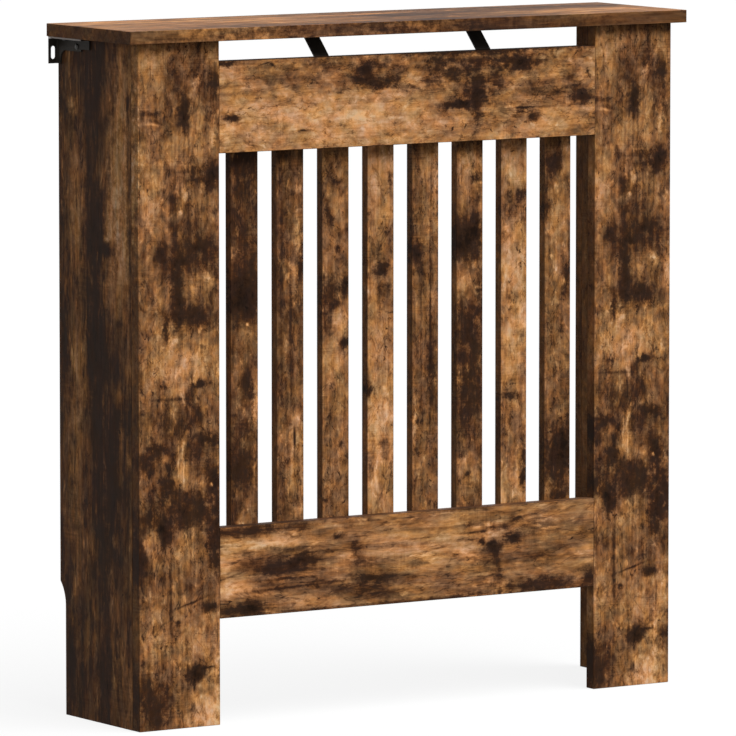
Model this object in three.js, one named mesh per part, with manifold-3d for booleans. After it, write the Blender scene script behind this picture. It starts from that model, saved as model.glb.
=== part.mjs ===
// Radiator cover cabinet: a slatted front between two pillar boards, two side panels cut out
// for the skirting board, and a top board, put together with cam fittings, dowels and screws.
// Millimetres. X runs left to right, Y from the room to the wall, Z up from the floor.
// The origin is on the floor, in the middle of the cover's width and depth.

import * as THREE from "three";
import { mergeVertices } from "three/addons/utils/BufferGeometryUtils.js";
import Module from "manifold-3d";

const wasm = await Module();
wasm.setup();

// ---------- Sizes ----------

// Whole cover
const WIDTH = 780;
const DEPTH = 190;
const HEIGHT = 815;

// Laminated chipboard: thick boards for the carcass, thin ones for slats, battens and stiles
const BOARD = 15;
const THIN_BOARD = 12;
const EDGE_ROUND = 0.5;
const CORNER_RADIUS = 1;

// Top board, past the side panels and past the pillars
const SIDE_OVERHANG = 16;
const FRONT_OVERHANG = 10.5;

// Front frame
const PILLAR_WIDTH = 110;
const RAIL_HEIGHT = 107;
const FOOT_GAP = 125;
const VENT_GAP = 24;

// Slats, behind the rails
const SLAT_COUNT = 8;
const SLAT_WIDTH = 37;
const SLAT_LAP = 50;
const SLAT_END_GAP = 25;

// Batten and stile, one behind the other along each pillar's inner edge
const BATTEN_WIDTH = 37;
const BATTEN_FOOT = 25;
const STILE_WIDTH = 37;

// Cut-out for the skirting board in each side panel
const SKIRTING_DEPTH = 12;
const SKIRTING_HEIGHT = 158;
const SKIRTING_RADIUS = 40;
const SKIRTING_STEPS = 8;

// Folded sheet steel
const STEEL = 2;
const BEND_RADIUS = 3;

// Slanting brace from the upper rail to the top board
const BRACE_WIDTH = 20;
const BRACE_OFFSET = 113.6;
const BRACE_SLOPE = THREE.MathUtils.degToRad(45);
const BRACE_RAIL_TAB = 32;
const BRACE_TOP_TAB = 32;
const BRACE_END_RADIUS = 4;
const BRACE_SCREW_INSET = 12.8;

// Wall bracket under the overhang, outside each side panel
const BRACKET_REACH = 13.5;
const BRACKET_HEIGHT = 32;
const BRACKET_FLANGE_LENGTH = 74;
const BRACKET_ARM_LENGTH = 56;
const BRACKET_ARM_HEIGHT = 16;
const BRACKET_LEG_WIDTH = 9;
const BRACKET_GAP = 0.5;
const BRACKET_FILLET = 10;
const BRACKET_CORNER = 3;
const BRACKET_SCREW_SPACING = 17.5;
const SLOT_WIDTH = 6.2;
const SLOT_HEIGHT = 15.5;
const SLOT_FOOT = 5;

// Cam fitting: cam in a side panel, bolt into the board that it pulls up
const CAM_RADIUS = 7.5;
const CAM_LENGTH = 12.5;
const CAM_SETBACK = 24;
const CAM_CHANNEL = 7.4;
const CAM_DRIVE_LENGTH = 8;
const CAM_DRIVE_WIDTH = 1.6;
const CAM_DRIVE_DEPTH = 2;
const BOLT_THREAD_RADIUS = 2.5;
const BOLT_THREAD_LENGTH = 11;
const BOLT_SHANK_RADIUS = 3.5;
const BOLT_NECK_RADIUS = 2;
const BOLT_NECK_LENGTH = 5;
const BOLT_HEAD_RADIUS = 3.3;
const BOLT_HEAD_LENGTH = 3;
const FRONT_CAM_HEIGHTS = [210, 640];
const TOP_CAM_FRONT_INSET = 29.5;
const TOP_CAM_WALL_INSET = 23;

// Dowel between a rail's end and a pillar's edge
const DOWEL_RADIUS = 4;
const DOWEL_LENGTH = 30;
const DOWEL_CHAMFER = 1;
const DOWEL_INSET = 22;

// Screws, with a domed head
const SCREW_RADIUS = 1.75;
const SCREW_LENGTH = 12;
const SCREW_TIP = 4;
const SCREW_HEAD_RADIUS = 3.5;
const SCREW_HEAD_HEIGHT = 2.2;
const SCREW_RIM_HEIGHT = 0.73;
const SCREW_CROWN_RADIUS = 2.45;
const SCREW_CROWN_HEIGHT = 1.76;
const BATTEN_SCREW_LENGTH = 33;
const BATTEN_SCREW_FOOT_INSET = 88;
const BATTEN_SCREW_TOP_INSET = 190;

// Clearance round everything that goes into a hole
const CLEARANCE = 0.3;

// Facets
const ROUND_STEPS = 12;
const BEND_STEPS = 3;
const EDGE_STEPS = 2;
const OVERCUT = 1;

// ---------- Places worked out from the sizes ----------

const WALL_Y = DEPTH / 2;
const FACE_Y = FRONT_OVERHANG - DEPTH / 2;
const FRAME_BACK_Y = FACE_Y + BOARD;
const BATTEN_BACK_Y = FRAME_BACK_Y + THIN_BOARD;
const STILE_BACK_Y = BATTEN_BACK_Y + THIN_BOARD;
const SIDE_X = WIDTH / 2 - SIDE_OVERHANG;
const SIDE_INNER_X = SIDE_X - BOARD;
const SIDE_MIDDLE_X = SIDE_X - BOARD / 2;
const OPENING_X = SIDE_X - PILLAR_WIDTH;
const UNDER_TOP_Z = HEIGHT - BOARD;
const UPPER_RAIL_Z = UNDER_TOP_Z - VENT_GAP - RAIL_HEIGHT;
const LOWER_RAIL_TOP_Z = FOOT_GAP + RAIL_HEIGHT;
const SLAT_FOOT_Z = LOWER_RAIL_TOP_Z - SLAT_LAP;
const SLAT_HEIGHT = UPPER_RAIL_Z + SLAT_LAP - SLAT_FOOT_Z;
const BATTEN_X = OPENING_X + BATTEN_WIDTH / 2;
const STILE_X = OPENING_X + STILE_WIDTH / 2;

// The two sides of the cover, by the sign of X
const SIDES = { left: -1, right: 1 };

// ---------- Finishes ----------

const FINISHES = {
  oak_laminate: { color: 0x704e32, roughness: 0.6, metalness: 0 },
  black_steel: { color: 0x1d1d1c, roughness: 0.5, metalness: 0.2 },
  zinc: { color: 0xa9a9a4, roughness: 0.35, metalness: 1 },
  beech: { color: 0xc9a474, roughness: 0.8, metalness: 0 },
};

const cover = new THREE.Group();

// Puts one named piece in the cover
function add(name, geometry, finish, x, y, z) {
  const mesh = new THREE.Mesh(geometry, new THREE.MeshStandardMaterial(FINISHES[finish]));
  mesh.name = name;
  mesh.position.set(x, y, z);
  cover.add(mesh);
  return mesh;
}

// ---------- Solids ----------

// A closed geometry as a solid that can be joined and cut
function toSolid(geometry) {
  const bare = geometry.clone();
  bare.deleteAttribute("normal");
  bare.deleteAttribute("uv");
  const merged = mergeVertices(bare, 1e-4);
  return new wasm.Manifold(new wasm.Mesh({
    numProp: 3,
    vertProperties: new Float32Array(merged.attributes.position.array),
    triVerts: new Uint32Array(merged.index.array),
  }));
}

function toGeometry(solid) {
  const mesh = solid.getMesh();
  const geometry = new THREE.BufferGeometry();
  geometry.setAttribute("position", new THREE.BufferAttribute(mesh.vertProperties, 3));
  geometry.setIndex(new THREE.BufferAttribute(mesh.triVerts, 1));
  return geometry;
}

// Takes each cutter away from a geometry
function cut(geometry, cutters) {
  let solid = toSolid(geometry);
  for (const cutter of cutters) {
    solid = solid.subtract(toSolid(cutter));
  }
  return toGeometry(solid);
}

const AXES = {
  x: new THREE.Vector3(1, 0, 0),
  y: new THREE.Vector3(0, 1, 0),
  z: new THREE.Vector3(0, 0, 1),
};

// A round cutter for a hole: its mouth is at a point, and it goes the given depth along +axis or
// -axis, by the depth's sign
function hole(mouth, axis, radius, depth) {
  const direction = AXES[axis].clone().multiplyScalar(Math.sign(depth));
  const length = Math.abs(depth) + OVERCUT;
  const cylinder = new THREE.CylinderGeometry(radius, radius, length, ROUND_STEPS);
  cylinder.translate(0, length / 2 - OVERCUT, 0);
  cylinder.applyQuaternion(new THREE.Quaternion().setFromUnitVectors(AXES.y, direction));
  return cylinder.translate(mouth.x, mouth.y, mouth.z);
}

function box(width, depth, height, x, y, z) {
  return new THREE.BoxGeometry(width, depth, height).translate(x, y, z);
}

// ---------- Outlines ----------

// Goes on to a corner and round it, with an arc that meets both of its sides smoothly
function roundCorner(path, before, corner, after, radius) {
  const arrive = corner.clone().sub(before).normalize();
  const leave = after.clone().sub(corner).normalize();
  const turn = Math.atan2(arrive.cross(leave), arrive.dot(leave));
  const reach = radius * Math.tan(Math.abs(turn) / 2);
  const inward = new THREE.Vector2(-arrive.y, arrive.x).multiplyScalar(Math.sign(turn) * radius);
  const centre = corner.clone().addScaledVector(arrive, -reach).add(inward);
  const start = Math.atan2(-inward.y, -inward.x);
  path.absarc(centre.x, centre.y, radius, start, start + turn, turn < 0);
}

// A closed outline from corners given as [across, up, radius]
function roundedOutline(corners) {
  const points = corners.map(([across, up]) => new THREE.Vector2(across, up));
  const shape = new THREE.Shape();
  points.forEach((corner, index) => {
    const before = points.at(index - 1);
    const after = points[(index + 1) % points.length];
    roundCorner(shape, before, corner, after, corners[index][2]);
  });
  return shape;
}

function roundedRectangle(left, right, bottom, top, radius) {
  return roundedOutline([
    [left, bottom, radius],
    [right, bottom, radius],
    [right, top, radius],
    [left, top, radius],
  ]);
}

// A line of points moved sideways by a distance, square to the line at every point
function offsetLine(points, distance) {
  return points.map((point, index) => {
    const before = points[Math.max(index - 1, 0)];
    const after = points[Math.min(index + 1, points.length - 1)];
    const arrive = (index > 0 ? point : after).clone().sub(before).normalize();
    const leave = after.clone().sub(index < points.length - 1 ? point : before).normalize();
    const along = arrive.clone().add(leave).normalize();
    const stretch = distance / along.dot(arrive);
    return new THREE.Vector2(point.x - along.y * stretch, point.y + along.x * stretch);
  });
}

// The section of sheet steel folded along a centre line of corners, with round bends
function foldedSection(corners) {
  const points = corners.map(([across, up]) => new THREE.Vector2(across, up));
  const bends = new THREE.Path();
  for (let index = 1; index < points.length - 1; index += 1) {
    roundCorner(bends, points[index - 1], points[index], points[index + 1], BEND_RADIUS);
  }
  const line = [points[0], ...bends.getPoints(BEND_STEPS), points.at(-1)];
  const farSide = offsetLine(line, STEEL / 2);
  const nearSide = offsetLine(line, -STEEL / 2);
  return new THREE.Shape([...nearSide, ...farSide.reverse()]);
}

// How an outline lies in the cover: drawn in Y and Z and thick along +X, or drawn in X and Z and
// thick along -Y
const ALONG_X = new THREE.Matrix4().makeBasis(AXES.y, AXES.z, AXES.x);
const ALONG_Y = new THREE.Matrix4().makeBasis(AXES.x, AXES.z, AXES.y.clone().negate());
const ALONG_Z = new THREE.Matrix4();

// A sharp-edged plate
function plate(shape, thickness, lie) {
  const options = { depth: thickness, bevelEnabled: false, curveSegments: BEND_STEPS };
  return new THREE.ExtrudeGeometry(shape, options).applyMatrix4(lie);
}

// A board whose edges are slightly rounded all round
function board(shape, thickness, lie, curveSteps = EDGE_STEPS) {
  const geometry = new THREE.ExtrudeGeometry(shape, {
    depth: thickness - 2 * EDGE_ROUND,
    bevelThickness: EDGE_ROUND,
    bevelSize: EDGE_ROUND,
    bevelOffset: -EDGE_ROUND,
    bevelSegments: EDGE_STEPS,
    curveSegments: curveSteps,
  });
  return geometry.translate(0, 0, EDGE_ROUND).applyMatrix4(lie);
}

// A board parallel to the front: centred in X, standing on z = 0, its back face at y = 0
function uprightBoard(width, height, thickness) {
  const outline = roundedRectangle(-width / 2, width / 2, 0, height, CORNER_RADIUS);
  return board(outline, thickness, ALONG_Y);
}

// A piece turned about Y, from points given as [radius, along]
function turned(profile) {
  const points = profile.map(([radius, along]) => new THREE.Vector2(radius, along));
  return new THREE.LatheGeometry(points, ROUND_STEPS);
}

// The same piece for the other side of the cover
function mirrored(geometry) {
  const copy = geometry.clone().applyMatrix4(new THREE.Matrix4().makeScale(-1, 1, 1));
  const corners = copy.index.array;
  for (let first = 0; first < corners.length; first += 3) {
    [corners[first], corners[first + 1]] = [corners[first + 1], corners[first]];
  }
  return copy;
}

function forSide(sign, geometry) {
  return sign > 0 ? geometry : mirrored(geometry);
}

// ---------- Fasteners ----------

// The cam's axis is X and its slotted face looks to -X; the bolt comes in from +Z, and the
// bolt's axis crosses the cam's at the origin
function camGeometry() {
  const drum = new THREE.CylinderGeometry(CAM_RADIUS, CAM_RADIUS, CAM_LENGTH, ROUND_STEPS);
  drum.rotateZ(Math.PI / 2);
  drum.translate(CAM_LENGTH / 2 - BOARD / 2, 0, 0);
  const channelTop = CAM_RADIUS + OVERCUT;
  const channelFoot = -CAM_CHANNEL / 2;
  const channelMiddle = (channelTop + channelFoot) / 2;
  const faceX = -BOARD / 2;
  const driveDepth = CAM_DRIVE_DEPTH + OVERCUT;
  const driveX = faceX + CAM_DRIVE_DEPTH - driveDepth / 2;
  return cut(drum, [
    box(CAM_CHANNEL, CAM_CHANNEL, channelTop - channelFoot, 0, 0, channelMiddle),
    box(driveDepth, CAM_DRIVE_LENGTH, CAM_DRIVE_WIDTH, driveX, 0, 0),
    box(driveDepth, CAM_DRIVE_WIDTH, CAM_DRIVE_LENGTH, driveX, 0, 0),
  ]);
}

// The bolt's thread is in the board behind y = 0, and its head is in the cam at y = CAM_SETBACK
function camBoltGeometry() {
  const headEnd = CAM_SETBACK + BOLT_HEAD_LENGTH / 2;
  const headStart = headEnd - BOLT_HEAD_LENGTH;
  const neckStart = headStart - BOLT_NECK_LENGTH;
  return turned([
    [0, -BOLT_THREAD_LENGTH],
    [BOLT_THREAD_RADIUS, -BOLT_THREAD_LENGTH],
    [BOLT_THREAD_RADIUS, 0],
    [BOLT_SHANK_RADIUS, 0],
    [BOLT_SHANK_RADIUS, neckStart],
    [BOLT_NECK_RADIUS, neckStart],
    [BOLT_NECK_RADIUS, headStart],
    [BOLT_HEAD_RADIUS, headStart],
    [BOLT_HEAD_RADIUS, headEnd],
    [0, headEnd],
  ]);
}

function dowelGeometry() {
  const end = DOWEL_LENGTH / 2;
  const dowel = turned([
    [0, -end],
    [DOWEL_RADIUS - DOWEL_CHAMFER, -end],
    [DOWEL_RADIUS, DOWEL_CHAMFER - end],
    [DOWEL_RADIUS, end - DOWEL_CHAMFER],
    [DOWEL_RADIUS - DOWEL_CHAMFER, end],
    [0, end],
  ]);
  return dowel.rotateZ(Math.PI / 2);
}

// The head sits on y = 0 and the shank goes down -Y
function screwGeometry(length) {
  return turned([
    [0, -length],
    [SCREW_RADIUS, SCREW_TIP - length],
    [SCREW_RADIUS, 0],
    [SCREW_HEAD_RADIUS, 0],
    [SCREW_HEAD_RADIUS, SCREW_RIM_HEIGHT],
    [SCREW_CROWN_RADIUS, SCREW_CROWN_HEIGHT],
    [0, SCREW_HEAD_HEIGHT],
  ]);
}

function screwHole(mouth, axis, depth) {
  return hole(mouth, axis, SCREW_RADIUS + CLEARANCE, depth);
}

function blind(length) {
  return length + CLEARANCE;
}

// ---------- Where the fasteners go ----------

const DOWEL_HEIGHTS = {
  lower: [FOOT_GAP + DOWEL_INSET, LOWER_RAIL_TOP_Z - DOWEL_INSET],
  upper: [UPPER_RAIL_Z + DOWEL_INSET, UPPER_RAIL_Z + RAIL_HEIGHT - DOWEL_INSET],
};
const DOWEL_Y = FACE_Y + BOARD / 2;
const DOWEL_HOLE_RADIUS = DOWEL_RADIUS + CLEARANCE;
const DOWEL_HOLE_DEPTH = DOWEL_LENGTH / 2 + CLEARANCE;
const BATTEN_SCREW_HEIGHTS = [
  SLAT_FOOT_Z + BATTEN_SCREW_FOOT_INSET,
  UNDER_TOP_Z - BATTEN_SCREW_TOP_INSET,
];
const FRONT_CAM_Y = FRAME_BACK_Y + CAM_SETBACK;
const TOP_CAM_Z = UNDER_TOP_Z - CAM_SETBACK;

const TOP_CAM_PLACES = [FRAME_BACK_Y + TOP_CAM_FRONT_INSET, WALL_Y - TOP_CAM_WALL_INSET];

const BRACE_SCREW_Z = UPPER_RAIL_Z + RAIL_HEIGHT - BRACE_RAIL_TAB + BRACE_SCREW_INSET;
const BRACE_START_Y = FRAME_BACK_Y + STEEL / 2;
const BRACE_END_Z = UNDER_TOP_Z - STEEL / 2;
const BRACE_BEND_Z = UPPER_RAIL_Z + RAIL_HEIGHT;
const BRACE_BEND_Y = BRACE_START_Y + (BRACE_END_Z - BRACE_BEND_Z) / Math.tan(BRACE_SLOPE);
const BRACE_SCREW_Y = BRACE_BEND_Y + BRACE_TOP_TAB - BRACE_SCREW_INSET;

const BRACKET_X = SIDE_X + BRACKET_REACH;
const BRACKET_ARM_FRONT_Y = WALL_Y - BRACKET_ARM_LENGTH;
const BRACKET_SCREW_Z = UNDER_TOP_Z - BRACKET_ARM_HEIGHT / 2 - STEEL;
const BRACKET_SIDE_SCREW_Y = BRACKET_ARM_FRONT_Y + 2 * BRACKET_CORNER + SCREW_HEAD_RADIUS;
const BRACKET_TOP_SCREW_Y = BRACKET_SIDE_SCREW_Y + BRACKET_SCREW_SPACING;
const BRACKET_TOP_SCREW_X = SIDE_X + STEEL + (BRACKET_REACH - STEEL) / 2;

// ---------- Boards ----------

function topBoard() {
  const outline = roundedRectangle(-WIDTH / 2, WIDTH / 2, -WALL_Y, WALL_Y, CORNER_RADIUS);
  const cutters = [];
  for (const sign of Object.values(SIDES)) {
    for (const y of TOP_CAM_PLACES) {
      const mouth = new THREE.Vector3(sign * SIDE_MIDDLE_X, y, 0);
      cutters.push(hole(mouth, "z", BOLT_THREAD_RADIUS + CLEARANCE, blind(BOLT_THREAD_LENGTH)));
    }
    const depth = blind(SCREW_LENGTH - STEEL);
    const braceMouth = new THREE.Vector3(sign * BRACE_OFFSET, BRACE_SCREW_Y, 0);
    const bracketMouth = new THREE.Vector3(sign * BRACKET_TOP_SCREW_X, BRACKET_TOP_SCREW_Y, 0);
    cutters.push(screwHole(braceMouth, "z", depth));
    cutters.push(screwHole(bracketMouth, "z", depth));
  }
  add("top_board", cut(board(outline, BOARD, ALONG_Z), cutters), "oak_laminate", 0, 0, UNDER_TOP_Z);
}

// The right pillar in its own place: its edge towards the opening takes the rails' dowels, and its
// back takes the side panel's cam bolts and the batten's screws
function pillarGeometry() {
  const cutters = [];
  for (const z of [...DOWEL_HEIGHTS.lower, ...DOWEL_HEIGHTS.upper]) {
    const mouth = new THREE.Vector3(OPENING_X, DOWEL_Y, z);
    cutters.push(hole(mouth, "x", DOWEL_HOLE_RADIUS, DOWEL_HOLE_DEPTH));
  }
  for (const z of FRONT_CAM_HEIGHTS) {
    const mouth = new THREE.Vector3(SIDE_MIDDLE_X, FRAME_BACK_Y, z);
    cutters.push(hole(mouth, "y", BOLT_THREAD_RADIUS + CLEARANCE, -blind(BOLT_THREAD_LENGTH)));
  }
  for (const z of BATTEN_SCREW_HEIGHTS) {
    const mouth = new THREE.Vector3(STILE_X, FRAME_BACK_Y, z);
    cutters.push(screwHole(mouth, "y", -blind(BATTEN_SCREW_LENGTH - 2 * THIN_BOARD)));
  }
  const blank = uprightBoard(PILLAR_WIDTH, UNDER_TOP_Z, BOARD);
  blank.translate(OPENING_X + PILLAR_WIDTH / 2, FRAME_BACK_Y, 0);
  return cut(blank, cutters);
}

// The right side panel in its own place, with the skirting cut-out at the foot of its back edge
function sidePanelGeometry() {
  const arcCentreY = WALL_Y - SKIRTING_DEPTH + SKIRTING_RADIUS;
  const rise = Math.sqrt(SKIRTING_RADIUS ** 2 - (SKIRTING_RADIUS - SKIRTING_DEPTH) ** 2);
  const arcCentreZ = SKIRTING_HEIGHT - rise;
  const arcEnd = Math.PI - Math.asin(rise / SKIRTING_RADIUS);
  const outline = new THREE.Shape();
  outline.moveTo(FRAME_BACK_Y, 0);
  outline.lineTo(WALL_Y - SKIRTING_DEPTH, 0);
  outline.absarc(arcCentreY, arcCentreZ, SKIRTING_RADIUS, Math.PI, arcEnd, true);
  outline.lineTo(WALL_Y, UNDER_TOP_Z);
  outline.lineTo(FRAME_BACK_Y, UNDER_TOP_Z);
  const blank = board(outline, BOARD, ALONG_X, SKIRTING_STEPS).translate(SIDE_INNER_X, 0, 0);
  const camDepth = blind(CAM_LENGTH);
  const boltRadius = BOLT_SHANK_RADIUS + CLEARANCE;
  const cutters = [];
  for (const z of FRONT_CAM_HEIGHTS) {
    const camMouth = new THREE.Vector3(SIDE_INNER_X, FRONT_CAM_Y, z);
    const boltMouth = new THREE.Vector3(SIDE_MIDDLE_X, FRAME_BACK_Y, z);
    cutters.push(hole(camMouth, "x", CAM_RADIUS + CLEARANCE, camDepth));
    cutters.push(hole(boltMouth, "y", boltRadius, CAM_SETBACK));
  }
  for (const y of TOP_CAM_PLACES) {
    const camMouth = new THREE.Vector3(SIDE_INNER_X, y, TOP_CAM_Z);
    const boltMouth = new THREE.Vector3(SIDE_MIDDLE_X, y, UNDER_TOP_Z);
    cutters.push(hole(camMouth, "x", CAM_RADIUS + CLEARANCE, camDepth));
    cutters.push(hole(boltMouth, "z", boltRadius, -CAM_SETBACK));
  }
  const screwMouth = new THREE.Vector3(SIDE_X, BRACKET_SIDE_SCREW_Y, BRACKET_SCREW_Z);
  cutters.push(screwHole(screwMouth, "x", -blind(SCREW_LENGTH - STEEL)));
  return cut(blank, cutters);
}

function addPillarsAndSides() {
  const pillar = pillarGeometry();
  const sidePanel = sidePanelGeometry();
  for (const [side, sign] of Object.entries(SIDES)) {
    add(`${side}_pillar_board`, forSide(sign, pillar), "oak_laminate", 0, 0, 0);
    add(`${side}_side_panel`, forSide(sign, sidePanel), "oak_laminate", 0, 0, 0);
  }
}

// A rail across the opening, with dowel holes in both ends; braced says where screws go in its back
function addRail(name, bottom, dowelHeights, braced) {
  const cutters = [];
  for (const sign of Object.values(SIDES)) {
    for (const height of dowelHeights) {
      const mouth = new THREE.Vector3(sign * OPENING_X, -BOARD / 2, height - bottom);
      cutters.push(hole(mouth, "x", DOWEL_HOLE_RADIUS, -sign * DOWEL_HOLE_DEPTH));
    }
    if (braced) {
      const mouth = new THREE.Vector3(sign * BRACE_OFFSET, 0, BRACE_SCREW_Z - bottom);
      cutters.push(screwHole(mouth, "y", -blind(SCREW_LENGTH - STEEL)));
    }
  }
  const blank = uprightBoard(2 * OPENING_X, RAIL_HEIGHT, BOARD);
  add(name, cut(blank, cutters), "oak_laminate", 0, FRAME_BACK_Y, bottom);
}

function addSlats() {
  const geometry = uprightBoard(SLAT_WIDTH, SLAT_HEIGHT, THIN_BOARD);
  const firstX = SLAT_END_GAP + SLAT_WIDTH / 2 - OPENING_X;
  const pitch = (-2 * firstX) / (SLAT_COUNT - 1);
  for (let index = 0; index < SLAT_COUNT; index += 1) {
    const x = firstX + index * pitch;
    add(`slat_${index + 1}`, geometry, "oak_laminate", x, BATTEN_BACK_Y, SLAT_FOOT_Z);
  }
}

// The batten is against the pillar, the stile against the batten, and both reach the top board
function addBattensAndStiles() {
  const battenHeight = UNDER_TOP_Z - BATTEN_FOOT;
  const stileHeight = UNDER_TOP_Z - SLAT_FOOT_Z;
  for (const [side, sign] of Object.entries(SIDES)) {
    const battenHoles = BATTEN_SCREW_HEIGHTS.map((z) => {
      const mouth = new THREE.Vector3(sign * (STILE_X - BATTEN_X), 0, z - BATTEN_FOOT);
      return screwHole(mouth, "y", -(THIN_BOARD + OVERCUT));
    });
    const stileHoles = BATTEN_SCREW_HEIGHTS.map((z) => {
      return screwHole(new THREE.Vector3(0, 0, z - SLAT_FOOT_Z), "y", -(THIN_BOARD + OVERCUT));
    });
    const batten = cut(uprightBoard(BATTEN_WIDTH, battenHeight, THIN_BOARD), battenHoles);
    const stile = cut(uprightBoard(STILE_WIDTH, stileHeight, THIN_BOARD), stileHoles);
    const finish = "oak_laminate";
    add(`${side}_batten`, batten, finish, sign * BATTEN_X, BATTEN_BACK_Y, BATTEN_FOOT);
    add(`${side}_stile`, stile, finish, sign * STILE_X, STILE_BACK_Y, SLAT_FOOT_Z);
  }
}

// ---------- Steel ----------

// The brace as a folded strip, with the ends of both tabs rounded
function braceGeometry() {
  const footZ = BRACE_BEND_Z - BRACE_RAIL_TAB;
  const endY = BRACE_BEND_Y + BRACE_TOP_TAB;
  const half = BRACE_WIDTH / 2;
  const section = foldedSection([
    [BRACE_START_Y, footZ],
    [BRACE_START_Y, BRACE_BEND_Z],
    [BRACE_BEND_Y, BRACE_END_Z],
    [endY, BRACE_END_Z],
  ]);
  const strip = toSolid(plate(section, BRACE_WIDTH, ALONG_X).translate(-half, 0, 0));
  const fromFront = roundedOutline([
    [-half, footZ, BRACE_END_RADIUS],
    [half, footZ, BRACE_END_RADIUS],
    [half, HEIGHT, OVERCUT],
    [-half, HEIGHT, OVERCUT],
  ]);
  const fromAbove = roundedOutline([
    [-half, -WALL_Y, OVERCUT],
    [half, -WALL_Y, OVERCUT],
    [half, endY, BRACE_END_RADIUS],
    [-half, endY, BRACE_END_RADIUS],
  ]);
  const frontTrim = plate(fromFront, DEPTH, ALONG_Y).translate(0, WALL_Y, 0);
  const topTrim = plate(fromAbove, HEIGHT + BOARD, ALONG_Z);
  const trimmed = strip.intersect(toSolid(frontTrim)).intersect(toSolid(topTrim));
  const railMouth = new THREE.Vector3(0, FRAME_BACK_Y + STEEL, BRACE_SCREW_Z);
  const topMouth = new THREE.Vector3(0, BRACE_SCREW_Y, UNDER_TOP_Z - STEEL);
  return cut(toGeometry(trimmed), [
    screwHole(railMouth, "y", -(STEEL + OVERCUT)),
    screwHole(topMouth, "z", STEEL + OVERCUT),
  ]);
}

// The right wall bracket in its own place: an arm on the side panel's outer face, with a slotted
// tab folded out along the wall and a flange folded out under the overhang, which meets the tab
// at a closed corner
function wallBracketGeometry() {
  const armX = SIDE_X + STEEL / 2;
  const tabY = WALL_Y - STEEL / 2;
  const footZ = UNDER_TOP_Z - BRACKET_HEIGHT;
  const legY = WALL_Y - BRACKET_LEG_WIDTH;
  const armFootZ = UNDER_TOP_Z - BRACKET_ARM_HEIGHT;
  const armTopZ = UNDER_TOP_Z - STEEL - BRACKET_GAP;
  const flangeZ = UNDER_TOP_Z - STEEL / 2;
  const flangeFrontY = WALL_Y - BRACKET_FLANGE_LENGTH;
  const bendY = WALL_Y - BEND_RADIUS - STEEL / 2;
  const wallEndY = WALL_Y + OVERCUT;
  const tabAndArm = foldedSection([
    [BRACKET_X, tabY],
    [armX, tabY],
    [armX, BRACKET_ARM_FRONT_Y],
  ]);
  const armElevation = roundedOutline([
    [BRACKET_ARM_FRONT_Y, armFootZ, BRACKET_CORNER],
    [legY, armFootZ, BRACKET_FILLET],
    [legY, footZ, BRACKET_CORNER],
    [wallEndY, footZ, BRACKET_GAP],
    [wallEndY, armTopZ, BRACKET_GAP],
    [BRACKET_ARM_FRONT_Y, armTopZ, BRACKET_GAP],
  ]);
  const flangeSection = foldedSection([
    [armX, armFootZ + BRACKET_CORNER],
    [armX, flangeZ],
    [BRACKET_X, flangeZ],
  ]);
  const flangeElevation = roundedOutline([
    [flangeFrontY, armFootZ, BRACKET_CORNER],
    [bendY, armFootZ, BRACKET_GAP],
    [bendY, armTopZ, BRACKET_GAP],
    [WALL_Y, armTopZ, BRACKET_GAP],
    [WALL_Y, HEIGHT, BRACKET_GAP],
    [flangeFrontY, HEIGHT, BRACKET_GAP],
  ]);
  const arm = toSolid(plate(tabAndArm, HEIGHT, ALONG_Z));
  const flange = toSolid(plate(flangeSection, DEPTH, ALONG_Y).translate(0, WALL_Y, 0));
  const trimmedArm = arm.intersect(toSolid(plate(armElevation, WIDTH, ALONG_X)));
  const trimmedFlange = flange.intersect(toSolid(plate(flangeElevation, WIDTH, ALONG_X)));
  const slotX = SIDE_X + (BRACKET_REACH + STEEL) / 2;
  const slotBottom = footZ + SLOT_FOOT;
  const slot = roundedRectangle(
    slotX - SLOT_WIDTH / 2,
    slotX + SLOT_WIDTH / 2,
    slotBottom,
    slotBottom + SLOT_HEIGHT,
    SLOT_WIDTH / 2,
  );
  const slotDepth = STEEL + 2 * OVERCUT;
  const sideMouth = new THREE.Vector3(SIDE_X + STEEL, BRACKET_SIDE_SCREW_Y, BRACKET_SCREW_Z);
  const topMouth = new THREE.Vector3(BRACKET_TOP_SCREW_X, BRACKET_TOP_SCREW_Y, UNDER_TOP_Z - STEEL);
  return cut(toGeometry(trimmedArm.add(trimmedFlange)), [
    plate(slot, slotDepth, ALONG_Y).translate(0, WALL_Y + OVERCUT, 0),
    screwHole(sideMouth, "x", -(STEEL + OVERCUT)),
    screwHole(topMouth, "z", STEEL + OVERCUT),
  ]);
}

function addSteel() {
  const brace = braceGeometry();
  const bracket = wallBracketGeometry();
  for (const [side, sign] of Object.entries(SIDES)) {
    add(`${side}_top_brace`, brace, "black_steel", sign * BRACE_OFFSET, 0, 0);
    add(`${side}_wall_bracket`, forSide(sign, bracket), "black_steel", 0, 0, 0);
  }
}

// ---------- Fasteners in their places ----------

const TOWARDS_TOP = -Math.PI / 2;

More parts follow.
